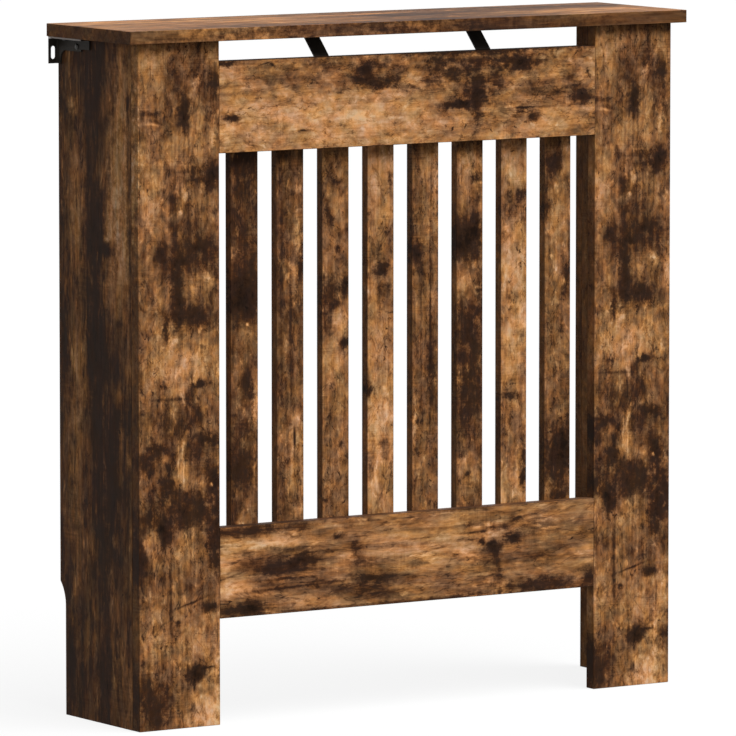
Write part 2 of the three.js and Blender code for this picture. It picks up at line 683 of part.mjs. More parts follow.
function addCams() {
  const cam = camGeometry();
  const bolt = camBoltGeometry();
  for (const [side, sign] of Object.entries(SIDES)) {
    const faceTurn = sign > 0 ? 0 : Math.PI;
    FRONT_CAM_HEIGHTS.forEach((z, index) => {
      const label = `${side}_front_cam_${index + 1}`;
      const lock = add(label, cam, "zinc", sign * SIDE_MIDDLE_X, FRONT_CAM_Y, z);
      lock.rotation.set(Math.PI / 2, 0, faceTurn);
      add(`${label}_bolt`, bolt, "zinc", sign * SIDE_MIDDLE_X, FRAME_BACK_Y, z);
    });
    TOP_CAM_PLACES.forEach((y, index) => {
      const label = `${side}_top_cam_${index + 1}`;
      const lock = add(label, cam, "zinc", sign * SIDE_MIDDLE_X, y, TOP_CAM_Z);
      lock.rotation.set(0, 0, faceTurn);
      const pin = add(`${label}_bolt`, bolt, "zinc", sign * SIDE_MIDDLE_X, y, UNDER_TOP_Z);
      pin.rotation.x = TOWARDS_TOP;
    });
  }
}

function addDowels() {
  const dowel = dowelGeometry();
  for (const [side, sign] of Object.entries(SIDES)) {
    for (const [rail, heights] of Object.entries(DOWEL_HEIGHTS)) {
      heights.forEach((z, index) => {
        const name = `${side}_${rail}_dowel_${index + 1}`;
        add(name, dowel, "beech", sign * OPENING_X, DOWEL_Y, z);
      });
    }
  }
}

function addScrews() {
  const short = screwGeometry(SCREW_LENGTH);
  const long = screwGeometry(BATTEN_SCREW_LENGTH);
  const steelBackY = FRAME_BACK_Y + STEEL;
  const steelUnderZ = UNDER_TOP_Z - STEEL;
  for (const [side, sign] of Object.entries(SIDES)) {
    const braceX = sign * BRACE_OFFSET;
    add(`${side}_brace_rail_screw`, short, "zinc", braceX, steelBackY, BRACE_SCREW_Z);
    const braceTopName = `${side}_brace_top_screw`;
    const braceTop = add(braceTopName, short, "zinc", braceX, BRACE_SCREW_Y, steelUnderZ);
    braceTop.rotation.x = TOWARDS_TOP;
    const armName = `${side}_bracket_side_screw`;
    const armX = sign * (SIDE_X + STEEL);
    const arm = add(armName, short, "zinc", armX, BRACKET_SIDE_SCREW_Y, BRACKET_SCREW_Z);
    arm.rotation.z = (-sign * Math.PI) / 2;
    const flangeName = `${side}_bracket_top_screw`;
    const flangeX = sign * BRACKET_TOP_SCREW_X;
    const flange = add(flangeName, short, "zinc", flangeX, BRACKET_TOP_SCREW_Y, steelUnderZ);
    flange.rotation.x = TOWARDS_TOP;
    BATTEN_SCREW_HEIGHTS.forEach((z, index) => {
      add(`${side}_batten_screw_${index + 1}`, long, "zinc", sign * STILE_X, STILE_BACK_Y, z);
    });
  }
}

// ---------- The cover ----------

topBoard();
addPillarsAndSides();
addRail("upper_rail", UPPER_RAIL_Z, DOWEL_HEIGHTS.upper, true);
addRail("lower_rail", FOOT_GAP, DOWEL_HEIGHTS.lower, false);
addSlats();
addBattensAndStiles();
addSteel();
addCams();
addDowels();
addScrews();

export default cover;
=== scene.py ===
"""Radiator cover cabinet: the finishes, slat screws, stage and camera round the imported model."""

import math
from typing import NamedTuple

import bmesh
import bpy
from mathutils import Matrix, Vector


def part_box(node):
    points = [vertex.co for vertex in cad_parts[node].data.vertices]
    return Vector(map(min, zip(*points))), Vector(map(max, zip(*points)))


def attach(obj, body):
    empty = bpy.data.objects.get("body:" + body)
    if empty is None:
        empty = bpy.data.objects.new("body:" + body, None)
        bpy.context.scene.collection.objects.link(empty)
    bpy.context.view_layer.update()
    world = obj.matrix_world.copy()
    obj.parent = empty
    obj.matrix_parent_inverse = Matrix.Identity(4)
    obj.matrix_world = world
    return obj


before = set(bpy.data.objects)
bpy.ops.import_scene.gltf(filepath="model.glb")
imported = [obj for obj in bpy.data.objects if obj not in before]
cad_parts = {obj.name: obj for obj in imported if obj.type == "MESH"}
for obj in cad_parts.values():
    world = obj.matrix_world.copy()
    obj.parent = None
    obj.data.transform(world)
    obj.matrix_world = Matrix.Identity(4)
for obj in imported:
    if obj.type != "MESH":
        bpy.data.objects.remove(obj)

bl_info = {
    "name": "Radiator Cover Cabinet",
    "version": (1, 0, 0),
    "blender": (4, 5, 0),
    "location": "3D View > Sidebar > Radiator Cover",
    "description": "Finishes, slat screws and stage for a slatted radiator cover",
    "category": "Object",
}

MM = 0.001
PER_METRE = 1000.0


# ---------- Values ----------


def linear(hex_colour):
    """Turns an sRGB hex value such as "#8a5a33" into a shader's linear red, green and blue."""
    channels = [int(hex_colour[i : i + 2], 16) / 255 for i in (1, 3, 5)]
    return tuple(c / 12.92 if c <= 0.04045 else ((c + 0.055) / 1.055) ** 2.4 for c in channels)


def opaque(colour):
    """Adds the alpha of 1 that a colour socket wants."""
    return (*colour, 1.0)


class Mark(NamedTuple):
    """One mark on a board's face, in millimetres: most are the printed oak's, and a few are painted light
    and shade.

    across and up place its middle, half_across and half_up are half its size, lift lightens it (or
    darkens it, below 0) on a scale where 1 is white, and turn tilts it to the left, in degrees.
    """

    across: float
    up: float
    half_across: float
    half_up: float
    lift: float
    turn: float = 0.0


def marks(*rows):
    """Makes marks from rows of values in a Mark's order."""
    return tuple(Mark(*row) for row in rows)


class Print(NamedTuple):
    """How the oak print lies on a board.

    axes run across, up and into the face, and an upright print's grain runs up. tone and edge are the
    lightness of the faces and of the edge band; the edge tone, set apart from the face's, is painted
    shade and light on the narrow faces, standing in for how the lamp falls on them. clouds is how much
    it swings. seed picks another part of the print, middle moves it, in millimetres, scale and turn, in
    degrees, lay it larger and askew, and stretch draws it out along the grain.
    """

    axes: str
    upright: bool
    tone: float
    seed: float
    marks: tuple = ()
    middle: tuple = (0, 0, 0)
    clouds: float = 0.75
    edge: float = 0.42
    scale: float = 1.0
    turn: float = 0.0
    stretch: float = 1.0


# Both pillars carry the same print. Across is measured from the left pillar's middle, up from the
# floor. The print lies further over on the right pillar, so the marks past its edge, at 55, show there.
PILLAR_MARKS = marks(
    (-57.5, 670, 2.5, 110, 0.8), (-12, 794, 3.4, 3.5, -0.25), (25, 754, 4, 12, 0.4, -25),
    (-35, 758, 16, 35, 0.15), (-2, 754, 16, 44, -0.15), (46, 750, 8, 13, -0.3), (9, 721, 8, 16, -0.5),
    (46, 715, 1.4, 20, -0.15), (-40, 718, 14, 2.5, -0.2, -8), (29, 685, 19, 28, 0.1),
    (-24, 683, 31, 19, 0.07), (14, 675, 1, 23, -0.15), (44, 643, 14, 12, -0.56), (14, 650, 18, 5, -0.14),
    (-43, 622, 9.4, 36, 0.16), (8, 624, 5, 11, 0.32), (-36, 621, 19, 41, 0.15), (-6, 611, 6.1, 31, -0.22),
    (13, 605, 1, 29, -0.14), (44, 603, 5.4, 13, 0.15), (38, 602, 1, 27, -0.14), (36, 562, 15, 13, -0.16),
    (24, 561, 6.8, 4.7, -0.25), (15, 556, 34, 22, -0.25), (-26, 553, 5.4, 8.1, -0.38),
    (3, 547, 6.8, 5.8, -0.31), (40, 526, 3.4, 8.2, 0.3, 30), (26, 515, 18, 16, 0.07),
    (-2, 512, 7, 36, -0.38), (-25, 505, 17, 16, 0.1), (16, 482, 24, 15, -0.42), (-18, 463, 3.6, 16, -0.44),
    (26, 449, 9.5, 15, -0.2), (-1, 424, 50, 40, 0.32), (3, 404, 15, 13, -0.15), (-35, 404, 11, 21, 0.16),
    (29, 402, 14, 4.5, -0.56, 10), (15, 391, 14, 4.7, -0.25), (-9, 386, 34, 2.2, -0.2),
    (40, 337, 13, 6, -0.45), (-1, 326, 51, 58, -0.1), (22, 325, 14, 8.1, -0.15), (-40, 322, 11, 15, -0.2),
    (-1, 312, 1.1, 23, 0.25), (0, 307, 8.1, 27, 0.14), (6, 302, 1.1, 21, 0.2), (2, 297, 10, 18, 0.25),
    (48, 289, 5.5, 14, -0.38), (-18, 285, 6.8, 12, -0.25), (22, 252, 40, 30, -0.36),
    (-39, 245, 13, 15, -0.3), (-20, 232, 8, 14, -0.5), (-40, 231, 11, 17, 0.19), (-2, 203, 4.1, 5.8, 0.25),
    (5, 203, 22, 20, 0.18), (22, 168, 20, 9.3, -0.12), (14, 146, 20, 1.4, -0.3, 17), (40, 140, 11, 6, -0.5),
    (-3, 123, 3.4, 2.9, -0.38), (-1, 113, 54, 38, 0.12), (-39, 108, 5.4, 35, 0.14), (29, 105, 20, 33, 0.1),
    (-50, 80, 3.4, 3.5, -0.31), (21, 63, 10, 9, -0.62), (38, 69, 12, 2.6, -0.4), (-36, 34, 28, 34, -0.3),
    (36, 26, 24, 30, 0.2), (37, 17, 18, 15, 0.2), (-34, 706, 9, 1.8, 0.3, -8), (40, 776, 3, 12, 0.2, -20),
    (47, 688, 3, 14, 0.35), (3, 602, 3, 3, 0.4), (-6, 454, 6, 5, 0.3), (-5, 362, 40, 16, -0.1),
    (-26, 328, 12, 5, -0.3), (-46, 314, 10, 12, -0.2), (24, 284, 14, 9, 0.35), (44, 284, 2, 2.5, 0.7),
    (-52, 200, 8, 28, -0.35), (58, 225, 12, 45, -0.35), (48, 195, 5, 30, -0.3), (-12, 150, 2, 60, -0.2),
    # The mark at 786 high with 60 across is painted light: it lifts the strip under the top board, where
    # that board's shade falls.
    (-32, 92, 14, 28, 0.16), (60, 115, 8, 45, 0.2), (51, 112, 1.5, 18, -0.3), (4, 786, 60, 20, 0.15),
    (60, 615, 8, 10, -0.3), (62, 512, 5, 22, 0.4), (52, 412, 5, 14, 0.3), (-27, 122, 14, 8, -0.22),
    (62, 63, 8, 8, -0.35), (50, 62, 3, 60, 0.25), (26, 4, 30, 8, 0.25),
)

# Across and up are the cover's own X and Z.
UPPER_RAIL_MARKS = marks(
    (-247, 709, 11, 4.2, -0.66), (-250, 758, 18, 8, 0.2), (-222, 720, 41, 15, 0.2),
    (-205, 695, 21, 7, -0.16), (-194, 687, 41, 11, 0.1), (-172, 765, 11, 5.9, -0.25),
    (-160, 756, 76, 15, -0.12), (-160, 764, 18, 7, 0.12), (-153, 709, 41, 15, 0.22),
    (-148, 691, 11, 1.2, -0.38), (-110, 728, 4.2, 2.9, 0.19), (-112, 768, 30, 6, -0.22),
    (-84, 703, 42, 18, 0.16), (-62, 754, 17, 13, -0.66), (-36, 743, 15, 6, -0.42), (-25, 765, 30, 7, -0.22),
    (-14, 703, 42, 18, 0.1), (-14, 729, 17, 7.1, 0.14), (43, 693, 35, 8.3, 0.14), (35, 741, 16, 7, -0.25),
    (55, 752, 30, 13, -0.36), (58, 713, 15, 6, -0.6), (75, 713, 11, 4.8, -0.44), (100, 767, 70, 10, -0.42),
    (94, 722, 10, 25, -0.66), (120, 742, 17, 12, -0.42), (128, 716, 14, 8.4, -0.12), (166, 757, 9, 8, -0.3),
    (161, 706, 17, 1.2, -0.38), (174, 695, 7.2, 4.8, -0.44), (174, 760, 36, 8.4, -0.3),
    (186, 683, 65, 8.4, 0.1), (194, 727, 37, 12, -0.19), (211, 698, 33, 7.2, 0.18),
    (230, 744, 10, 8.4, -0.2), (240, 678, 25, 6, -0.16), (246, 717, 13, 8, -0.54), (-252, 773, 14, 4, -0.5),
    (-92, 738, 10, 4, -0.2), (-17, 697, 7, 4, -0.2), (-30, 681, 12, 2, -0.28), (62, 725, 12, 5, -0.2),
    # The long thin mark at 775 high is painted shade along the rail's top edge.
    (100, 775, 170, 2.6, -0.35), (150, 757, 22, 9, -0.25), (-18, 751, 12, 10, -0.3), (21, 730, 12, 6, -0.2),
    (80, 725, 8, 8, -0.35), (22, 693, 14, 6, -0.2), (-257, 690, 12, 12, 0.25), (-112, 681, 20, 6, 0.2),
)
LOWER_RAIL_MARKS = marks(
    (-246, 174, 18, 1.2, -0.19, 14), (-246, 207, 16, 15, 0.1), (-241, 158, 23, 8.2, 0.24),
    (-236, 134, 34, 8, -0.45), (-255, 185, 14, 45, 0.16), (-232, 226, 40, 8, -0.36),
    (-200, 209, 60, 5, 0.3), (-182, 182, 46, 17, -0.3), (-150, 194, 26, 1.5, -0.2, 4),
    (-160, 185, 24, 3.5, -0.3), (-200, 178, 20, 2.5, -0.15), (-180, 166, 36, 2, -0.25),
    (-170, 155, 57, 1.5, -0.25, 2), (-153, 185, 18, 7, -0.19), (-160, 225, 30, 6, -0.35),
    (-103, 149, 17, 6.5, -0.19), (-100, 211, 8, 4, -0.45), (-76, 195, 7, 13, -0.25),
    (-70, 184, 11, 15, -0.22), (-49, 168, 31, 13, -0.19), (-44, 157, 34, 5.3, -0.26),
    (-21, 201, 42, 8.3, 0.14), (14, 172, 18, 6, -0.25), (43, 190, 50, 14, 0.12), (43, 170, 59, 19, 0.14),
    (45, 150, 18, 7, -0.16), (85, 169, 14, 24, 0.12), (110, 168, 10, 14, -0.19), (96, 208, 8, 2.4, 0.35),
    (104, 203, 6, 2.2, -0.3), (110, 211, 6, 2.2, 0.4), (118, 206, 6, 2.2, -0.3), (126, 212, 8, 2.4, 0.35),
    (117, 184, 11, 6, -0.62), (121, 207, 44, 11, -0.1), (124, 171, 5.7, 18, -0.3), (136, 206, 6, 2.2, -0.3),
    (147, 192, 12, 6, -0.56), (190, 134, 48, 8, -0.5), (193, 171, 58, 16, -0.22), (214, 178, 43, 24, 0.15),
    (258, 175, 10, 12, 0.12), (-217, 132, 14, 8, -0.3), (-38, 138, 42, 10, -0.2),
    # The long thin mark at 126.5 high is painted shade along the rail's bottom edge.
    (0, 126.5, 260, 2.2, -0.28), (58, 218, 22, 8, 0.16), (84, 212, 8, 4, -0.3), (155, 214, 9, 3, -0.35),
    (90, 202, 14, 1.6, -0.3), (102, 190, 3, 3.5, -0.5), (200, 201, 50, 10, -0.28), (100, 133, 50, 6, -0.2),
    (258, 136, 10, 14, -0.4), (-80, 226, 20, 5, -0.25), (112, 200, 14, 5, 0.35), (126, 146, 9, 9, -0.3),
    (-130, 133, 40, 8, 0.2),
)

# One list for each slat, from the left. Across is measured from the slat's middle.
SLAT_MARKS = (
    marks(
        (-3, 660, 21, 20, -0.2), (0, 500, 19, 28, -0.4), (4, 466, 2.1, 2.3, 0.75), (-2, 440, 14, 29, 0.15),
        (3, 398, 10, 18, -0.18), (-5, 298, 14, 17, -0.25), (0, 256, 14, 21, 0.15), (0, 458, 16, 9, 0.2),
        (15, 372, 4, 32, 0.5), (-8, 251, 8, 10, -0.2),
    ),
    marks(
        (10, 570, 4, 40, 0.25), (5, 522, 4, 16, 0.15), (-12, 509, 2.1, 135, -0.12),
        (1, 455, 2.1, 88, -0.12), (7, 349, 6.9, 18, 0.25), (6, 328, 1.7, 12, -0.5), (4, 290, 8, 45, 0.22),
        (-3, 267, 1.4, 12, 0.25), (15, 530, 5, 16, -0.45), (16, 285, 5, 40, 0.3),
    ),
    marks(
        (0, 655, 16, 10, 0.15), (3, 627, 9, 4, -0.3), (6, 587, 9.8, 35, 0.06), (4, 550, 4.2, 4.1, -0.56),
        (14, 506, 5, 10, -0.62), (9, 463, 9, 16, 0.25), (12, 437, 7, 6, -0.62), (-5, 417, 15, 18, 0.19),
        (7, 317, 4.2, 5.9, -0.38), (-1, 304, 15, 47, 0.14), (-8, 588, 4, 20, -0.35, 18),
        (-8, 500, 12, 20, -0.3), (5, 484, 8, 5, -0.25), (-12, 462, 6, 22, -0.2), (3, 603, 8, 8, -0.15),
    ),
    marks(
        (-1, 662, 17, 5.9, -0.15), (13, 628, 3.5, 8.3, -0.38), (-1, 626, 17, 41, 0.12),
        (-1, 529, 14, 24, -0.15), (3, 522, 8, 9, -0.6), (1, 431, 15, 36, 0.12), (-16, 378, 3.5, 8.3, -0.62),
        (-1, 342, 15, 30, 0.22), (4, 316, 7, 6, -0.3), (-6, 271, 2.1, 24, 0.19, 8),
        (8, 270, 2.1, 24, 0.15, -8), (-6, 529, 4, 4, 0.3), (6, 494, 10, 14, -0.35),
    ),
    marks(
        (4, 635, 13, 36, 0.12), (-13, 538, 6, 15, -0.6), (7, 480, 1.4, 119, -0.22),
        (-6, 421, 1.4, 107, -0.1), (8, 398, 6, 38, -0.3), (-14, 345, 2.6, 24, 0.35), (15, 610, 4, 50, 0.3),
        (0, 275, 16, 35, 0.08),
    ),
    marks(
        (-2, 623, 17, 27, 0.25), (9, 563, 5.7, 27, -0.25), (-2, 553, 17, 21, -0.28),
        (-4, 549, 16, 19, -0.4), (-2, 501, 17, 24, 0.15), (-11, 497, 8.5, 13, 0.18),
        (-2, 456, 17, 24, -0.18), (-2, 396, 17, 74, -0.25), (-2, 280, 16, 34, 0.16), (9, 623, 7, 5, -0.25),
        (-2, 271, 4, 3, -0.3), (2, 645, 16, 14, 0.25), (16, 484, 5, 12, -0.35),
    ),
    marks(
        (-4, 630, 16, 20, 0.14), (-2, 588, 18, 16, -0.25), (-11, 562, 4.3, 3.6, 0.19),
        (9, 548, 5.7, 7.2, -0.12), (-4, 520, 16, 30, 0.12), (-2, 480, 13, 6, -0.12), (-4, 426, 16, 36, 0.1),
        (-5, 361, 10, 5, -0.35), (-2, 300, 18, 55, -0.2), (14, 260, 4.3, 11, -0.56), (9, 602, 9, 8, -0.4),
        (2, 500, 16, 40, 0.15), (10, 434, 6, 5, -0.25), (15, 530, 4, 14, 0.25), (15, 298, 5, 22, -0.35),
    ),
    marks(
        (-5, 635, 10, 11, -0.44), (-15, 581, 5, 12, -0.35), (-2, 569, 17, 40, 0.19), (4, 416, 13, 48, 0.14),
        (11, 302, 5.8, 14, -0.38), (8, 296, 10, 22, -0.35), (-2, 270, 18, 44, -0.35),
        (13, 498, 5, 14, -0.3), (-2, 340, 14, 8, 0.15, -30), (13, 660, 6, 12, 0.25),
    ),
)
SLAT_TONES = (0.26, 0.36, 0.5, 0.63, 0.47, 0.38, 0.68, 0.43)

# On the side panels across is the cover's own Y, from the room to the wall.
SIDE_MARKS = marks(
    (14, 743, 18, 53, -0.22), (-49, 742, 20, 52, 0.38), (63, 721, 7, 8.2, 0.4), (-62, 676, 1.8, 70, -0.15),
    (54, 656, 21, 70, 0.14), (46, 640, 18, 100, 0.1), (-43, 653, 24, 49, 0.4), (56, 590, 20, 45, 0.16),
    (-48, 588, 21, 41, 0.3), (9, 587, 17, 41, -0.22), (-25, 585, 14, 35, 0.28), (-14, 569, 5.8, 5.2, 0.4),
    (-14, 556, 16, 9.3, -0.4), (-44, 517, 28, 52, 0.36), (80, 430, 12, 90, -0.12), (68, 502, 16, 41, 0.1),
    (-66, 502, 1.8, 70, -0.2), (16, 495, 12, 64, -0.16), (30, 494, 1.9, 94, -0.18),
    (-41, 472, 9.2, 5.2, -0.25), (0, 438, 18, 41, -0.18), (-58, 410, 10, 34, 0.14), (49, 410, 17, 53, 0.24),
    (-39, 388, 11, 14, 0.3), (-46, 349, 8, 20, 0.2), (-9, 334, 28, 88, -0.16), (-62, 313, 4.6, 9.3, 0.32),
    (54, 310, 26, 76, 0.2), (-28, 216, 5.7, 8.2, 0.3), (40, 212, 16, 41, 0.12), (-7, 193, 23, 88, -0.14),
    (58, 159, 8.2, 11, 0.16), (-39, 145, 18, 70, 0.14), (40, 104, 26, 26, 0.16), (70, 65, 8.2, 71, -0.25),
    (-57, 48, 18, 41, 0.12), (-4, 41, 14, 47, -0.14),
)

# On the top board across is X and up is Y. Its front edge is at Y -95.
TOP_MARKS = marks(
    # The first mark darkens the left end face a little, painted shade on the side turned from the lamp.
    (-390, 0, 1.5, 120, -0.03), (-180, -84, 210, 14, -0.16), (-240, -62, 60, 16, -0.2),
    (-150, 10, 60, 30, 0.14), (60, -75, 110, 28, -0.22), (70, 10, 120, 45, -0.2), (290, 45, 110, 26, -0.22),
    (170, 75, 190, 16, -0.2), (40, 98, 330, 7, -0.6), (280, -20, 80, 40, 0.08), (-240, -98, 120, 4, 0.34),
    (0, -98, 100, 4, 0.32), (240, -98, 60, 4, -0.1),
)


# ---------- Nodes ----------

FLOAT = "NodeSocketFloat"
VECTOR = "NodeSocketVector"
COLOUR = "NodeSocketColor"
NODE_COLUMNS = 14
NODE_STEP = (190, 260)


def add_node(tree, kind, inputs=None, stops=None, **settings):
    """Adds a node with its settings, colour stops and inputs, set or linked, and returns its outputs.

    kind is the node's type, without the word ShaderNode in front of it.
    """
    count = len(tree.nodes)
    node = tree.nodes.new(kind if kind.startswith("NodeGroup") else "ShaderNode" + kind)
    node.location = (NODE_STEP[0] * (count % NODE_COLUMNS), -NODE_STEP[1] * (count // NODE_COLUMNS))
    for name, value in settings.items():
        setattr(node, name, value)
    if stops:
        ramp = node.color_ramp
        while len(ramp.elements) < len(stops):
            ramp.elements.new(1.0)
        for element, (position, colour) in zip(ramp.elements, stops):
            element.position = position
            element.color = opaque(colour)
    for name, value in (inputs or {}).items():
        socket = node.inputs[name]
        if isinstance(value, bpy.types.NodeSocket):
            tree.links.new(value, socket)
        else:
            socket.default_value = value
    return node.outputs


def new_group(name, inputs, outputs):
    """Makes a node group with the given sockets and returns it with its inputs, by name."""
    group = bpy.data.node_groups.new(name, "ShaderNodeTree")
    for socket, kind in inputs.items():
        group.interface.new_socket(socket, in_out="INPUT", socket_type=kind)
    for socket, kind in outputs.items():
        group.interface.new_socket(socket, in_out="OUTPUT", socket_type=kind)
    return group, add_node(group, "NodeGroupInput")


def new_material(name):
    """Makes an empty node material and returns it with its tree."""
    material = bpy.data.materials.new(name)
    material.use_nodes = True
    material.node_tree.nodes.clear()
    return material, material.node_tree


def raised_surface(tree, height, strength, depth, look):
    """Ends a material with a bump of that depth and a shader with those inputs."""
    bump = add_node(tree, "Bump", {"Height": height, "Strength": strength, "Distance": depth})
    shader = add_node(tree, "BsdfPrincipled", {**look, "Normal": bump[0]})
    add_node(tree, "OutputMaterial", {"Surface": shader[0]})


# ---------- The oak print ----------

# The noises of the print's figure, with real sizes in millimetres: across the grain, along it and into
# the board. The first group makes its lightness, the second its finish.
TONE_FIGURES = {
    "clouds": {"Size": (42, 95, 42), "Detail": 6, "Roughness": 0.62, "Distortion": 1.0},
    "mottle": {"Size": (12, 17, 12), "Detail": 5, "Roughness": 0.6, "Distortion": 0.6},
    "streaks": {"Size": (5, 90, 5), "Detail": 4, "Roughness": 0.6, "Distortion": 0.2},
    "fibres": {"Size": (1.7, 9, 1.7), "Detail": 2, "Roughness": 0.5},
    "burns": {"Size": (15, 30, 15), "Detail": 6, "Roughness": 0.7, "Distortion": 0.8},
    "pits": {"Size": (6, 9, 6), "Detail": 6, "Roughness": 0.65, "Distortion": 0.6},
    "gleams": {"Size": (8, 14, 8), "Detail": 6, "Roughness": 0.6, "Distortion": 0.3},
    "veins": {"Size": (24, 70, 24), "Detail": 4, "Roughness": 0.6, "Distortion": 0.6},
}
FINISH_FIGURES = {
    "scratches": {"Size": (70, 1.5, 70), "Detail": 3, "Roughness": 0.6},
    "sawn areas": {"Size": (42, 42, 42), "Detail": 3, "Roughness": 0.5},
    "specks": {"Size": (3, 3, 3), "Detail": 3, "Roughness": 0.7},
    "tint": {"Size": (18, 40, 18), "Detail": 4, "Roughness": 0.55},
    "dye": {"Size": (9, 14, 9), "Detail": 4, "Roughness": 0.6},
}


class Patch(NamedTuple):
    """Where a noise, and the clouds, begin to lift the tone and lift it in full, and by how much."""

    begin: float
    full: float
    cloud_begin: float
    cloud_full: float
    lift: float


PATCHES = {
    "burns": Patch(begin=0.57, full=0.7, cloud_begin=0.7, cloud_full=0.4, lift=-0.4),
    "pits": Patch(begin=0.58, full=0.66, cloud_begin=0.54, cloud_full=0.4, lift=-0.45),
    "gleams": Patch(begin=0.54, full=0.7, cloud_begin=0.44, cloud_full=0.58, lift=0.34),
}

# How much the specks move the tone, and the scratches where the board is most sawn
SPECK_WEIGHT = 0.22
SCRATCH_WEIGHT = 0.4

# A vein is as wide as a noise's middle line, from its faint edge to its core.
VEIN_EDGE = 0.016
VEIN_CORE = 0.002
VEIN_LIFT = -0.16

# How far the noises push a mark's outline, and how large those noises are, in millimetres
FINE_WARP = 9
COARSE_WARP = 40
THIN_SHIFT = 5
FINE_SHIFT = 17
COARSE_SHIFT = 34

# A mark is full to its core and fades out at its reach, in half sizes. Grit eats into it.
MARK_CORE = 0.35
MARK_REACH = 2.0
MARK_FALL_OFF = 2.0
MARK_RAGGEDNESS = 2.0
MARK_DEPTH = 1e6
DARK_MARKS = 1.3
LIGHT_MARKS = 1.2

# The half widths in millimetres below which a mark's outline gets the thin or the fine push
THIN_MARK = 2.6
FINE_MARK = 12

# The edge band shows from this deep under the board's edge, in millimetres.
BAND_BEGIN = 0.7
BAND_FULL = 0.2
BAND_LIVELINESS = 0.5

NOISE_MIDDLE = 0.5
BLACKEST_TONE = -0.6
PALEST_TONE = 1.08
CAST_BEGIN = 0.38
CAST_FULL = 0.62
SEED_STEP = (731.0, 0.0, 417.0)
AXES = {"x": 0, "y": 1, "z": 2}
PRINT_TOOTH = 0.08 * MM


def figure_group():
    """A noise whose blots have a real size: Share runs from 0 to 1 and Swing is round 0."""
    group, given = new_group(
        "Oak print figure",
        {"Grain": VECTOR, "Size": VECTOR, "Detail": FLOAT, "Roughness": FLOAT, "Distortion": FLOAT},
        {"Share": FLOAT, "Swing": FLOAT},
    )
    sized = add_node(group, "VectorMath", {0: given["Grain"], 1: given["Size"]}, operation="DIVIDE")
    drawn = {name: given[name] for name in ("Detail", "Roughness", "Distortion")}
    noise = add_node(group, "TexNoise", {"Vector": sized[0], "Scale": 1.0, **drawn})
    share = noise["Fac"]
    swing = add_node(group, "Math", {0: share, 1: NOISE_MIDDLE}, operation="SUBTRACT")
    add_node(group, "NodeGroupOutput", {"Share": share, "Swing": swing[0]})
    return group


def tone_group(figure):
    """Gives the print's lightness, 0 to 1: clouds of sapwood and heartwood, mottle, streaks and fibres.

    Burns and pits darken it, and gleams lighten it, where a ragged noise peaks and the clouds let them.
    Veins darken it along a noise's middle line.
    """
    group, given = new_group(
        "Oak print tone", {"Grain": VECTOR, "Tone": FLOAT, "Clouds": FLOAT}, {"Tone": FLOAT, "Fibre": FLOAT}
    )
    grain = given["Grain"]
    noises = {
        name: add_node(group, "Group", {"Grain": grain, **values}, node_tree=figure)
        for name, values in TONE_FIGURES.items()
    }
    weights = {"clouds": given["Clouds"], "mottle": 1.0, "streaks": 0.6, "fibres": 0.18}
    tone = given["Tone"]
    for name, weight in weights.items():
        swing = noises[name]["Swing"]
        tone = add_node(group, "Math", {0: swing, 1: weight, 2: tone}, operation="MULTIPLY_ADD")[0]
    clouds = noises["clouds"]["Share"]
    for name, patch in PATCHES.items():
        peaks = add_node(
            group,
            "MapRange",
            {"Value": noises[name]["Share"], "From Min": patch.begin, "From Max": patch.full},
            interpolation_type="SMOOTHSTEP",
        )
        reach = {"From Min": patch.cloud_begin, "From Max": patch.cloud_full, "To Max": patch.lift}
        lift = add_node(group, "MapRange", {"Value": clouds, **reach})
        tone = add_node(
            group, "Math", {0: peaks["Result"], 1: lift["Result"], 2: tone}, operation="MULTIPLY_ADD"
        )[0]
    away = add_node(group, "Math", {0: noises["veins"]["Swing"]}, operation="ABSOLUTE")
    vein = add_node(
        group,
        "MapRange",
        {"Value": away[0], "From Min": VEIN_EDGE, "From Max": VEIN_CORE, "To Max": VEIN_LIFT},
        interpolation_type="SMOOTHSTEP",
    )
    tone = add_node(group, "Math", {0: vein["Result"], 1: tone}, operation="ADD")
    add_node(group, "NodeGroupOutput", {"Tone": tone[0], "Fibre": noises["fibres"]["Share"]})
    return group


def warp_group():
    """Pushes the face's coordinates about, so that a mark's outline frays as a real stain does.

    Grit is a fine noise round 0, which breaks up the mark's middle.
    """
    group, given = new_group(
        "Oak print warp",
        {"Face": VECTOR},
        {"Thin": VECTOR, "Fine": VECTOR, "Coarse": VECTOR, "Grit": FLOAT},
    )
    pushes = []
    for size in (FINE_WARP, COARSE_WARP):
        noise = add_node(
            group, "TexNoise", {"Vector": given["Face"], "Scale": 1 / size, "Detail": 5, "Roughness": 0.7}
        )
        push = add_node(
            group, "VectorMath", {0: noise["Color"], 1: [NOISE_MIDDLE] * 3}, operation="SUBTRACT"
        )
        pushes.append(push[0])
    fine, coarse = pushes
    moved = {"Face": given["Face"]}
    # What comes out, the noise that pushes it, how far, and what is pushed
    steps = (
        ("Thin", fine, THIN_SHIFT, "Face"),
        ("Fine", fine, FINE_SHIFT, "Face"),
        ("Coarse", coarse, COARSE_SHIFT, "Fine"),
    )
    for name, push, shift, pushed in steps:
        moved[name] = add_node(
            group, "VectorMath", {0: push, 1: (shift, shift, 0), 2: moved[pushed]}, operation="MULTIPLY_ADD"
        )[0]
    del moved["Face"]
    grit = add_node(group, "SeparateXYZ", {0: fine})
    add_node(group, "NodeGroupOutput", {**moved, "Grit": grit[2]})
    return group


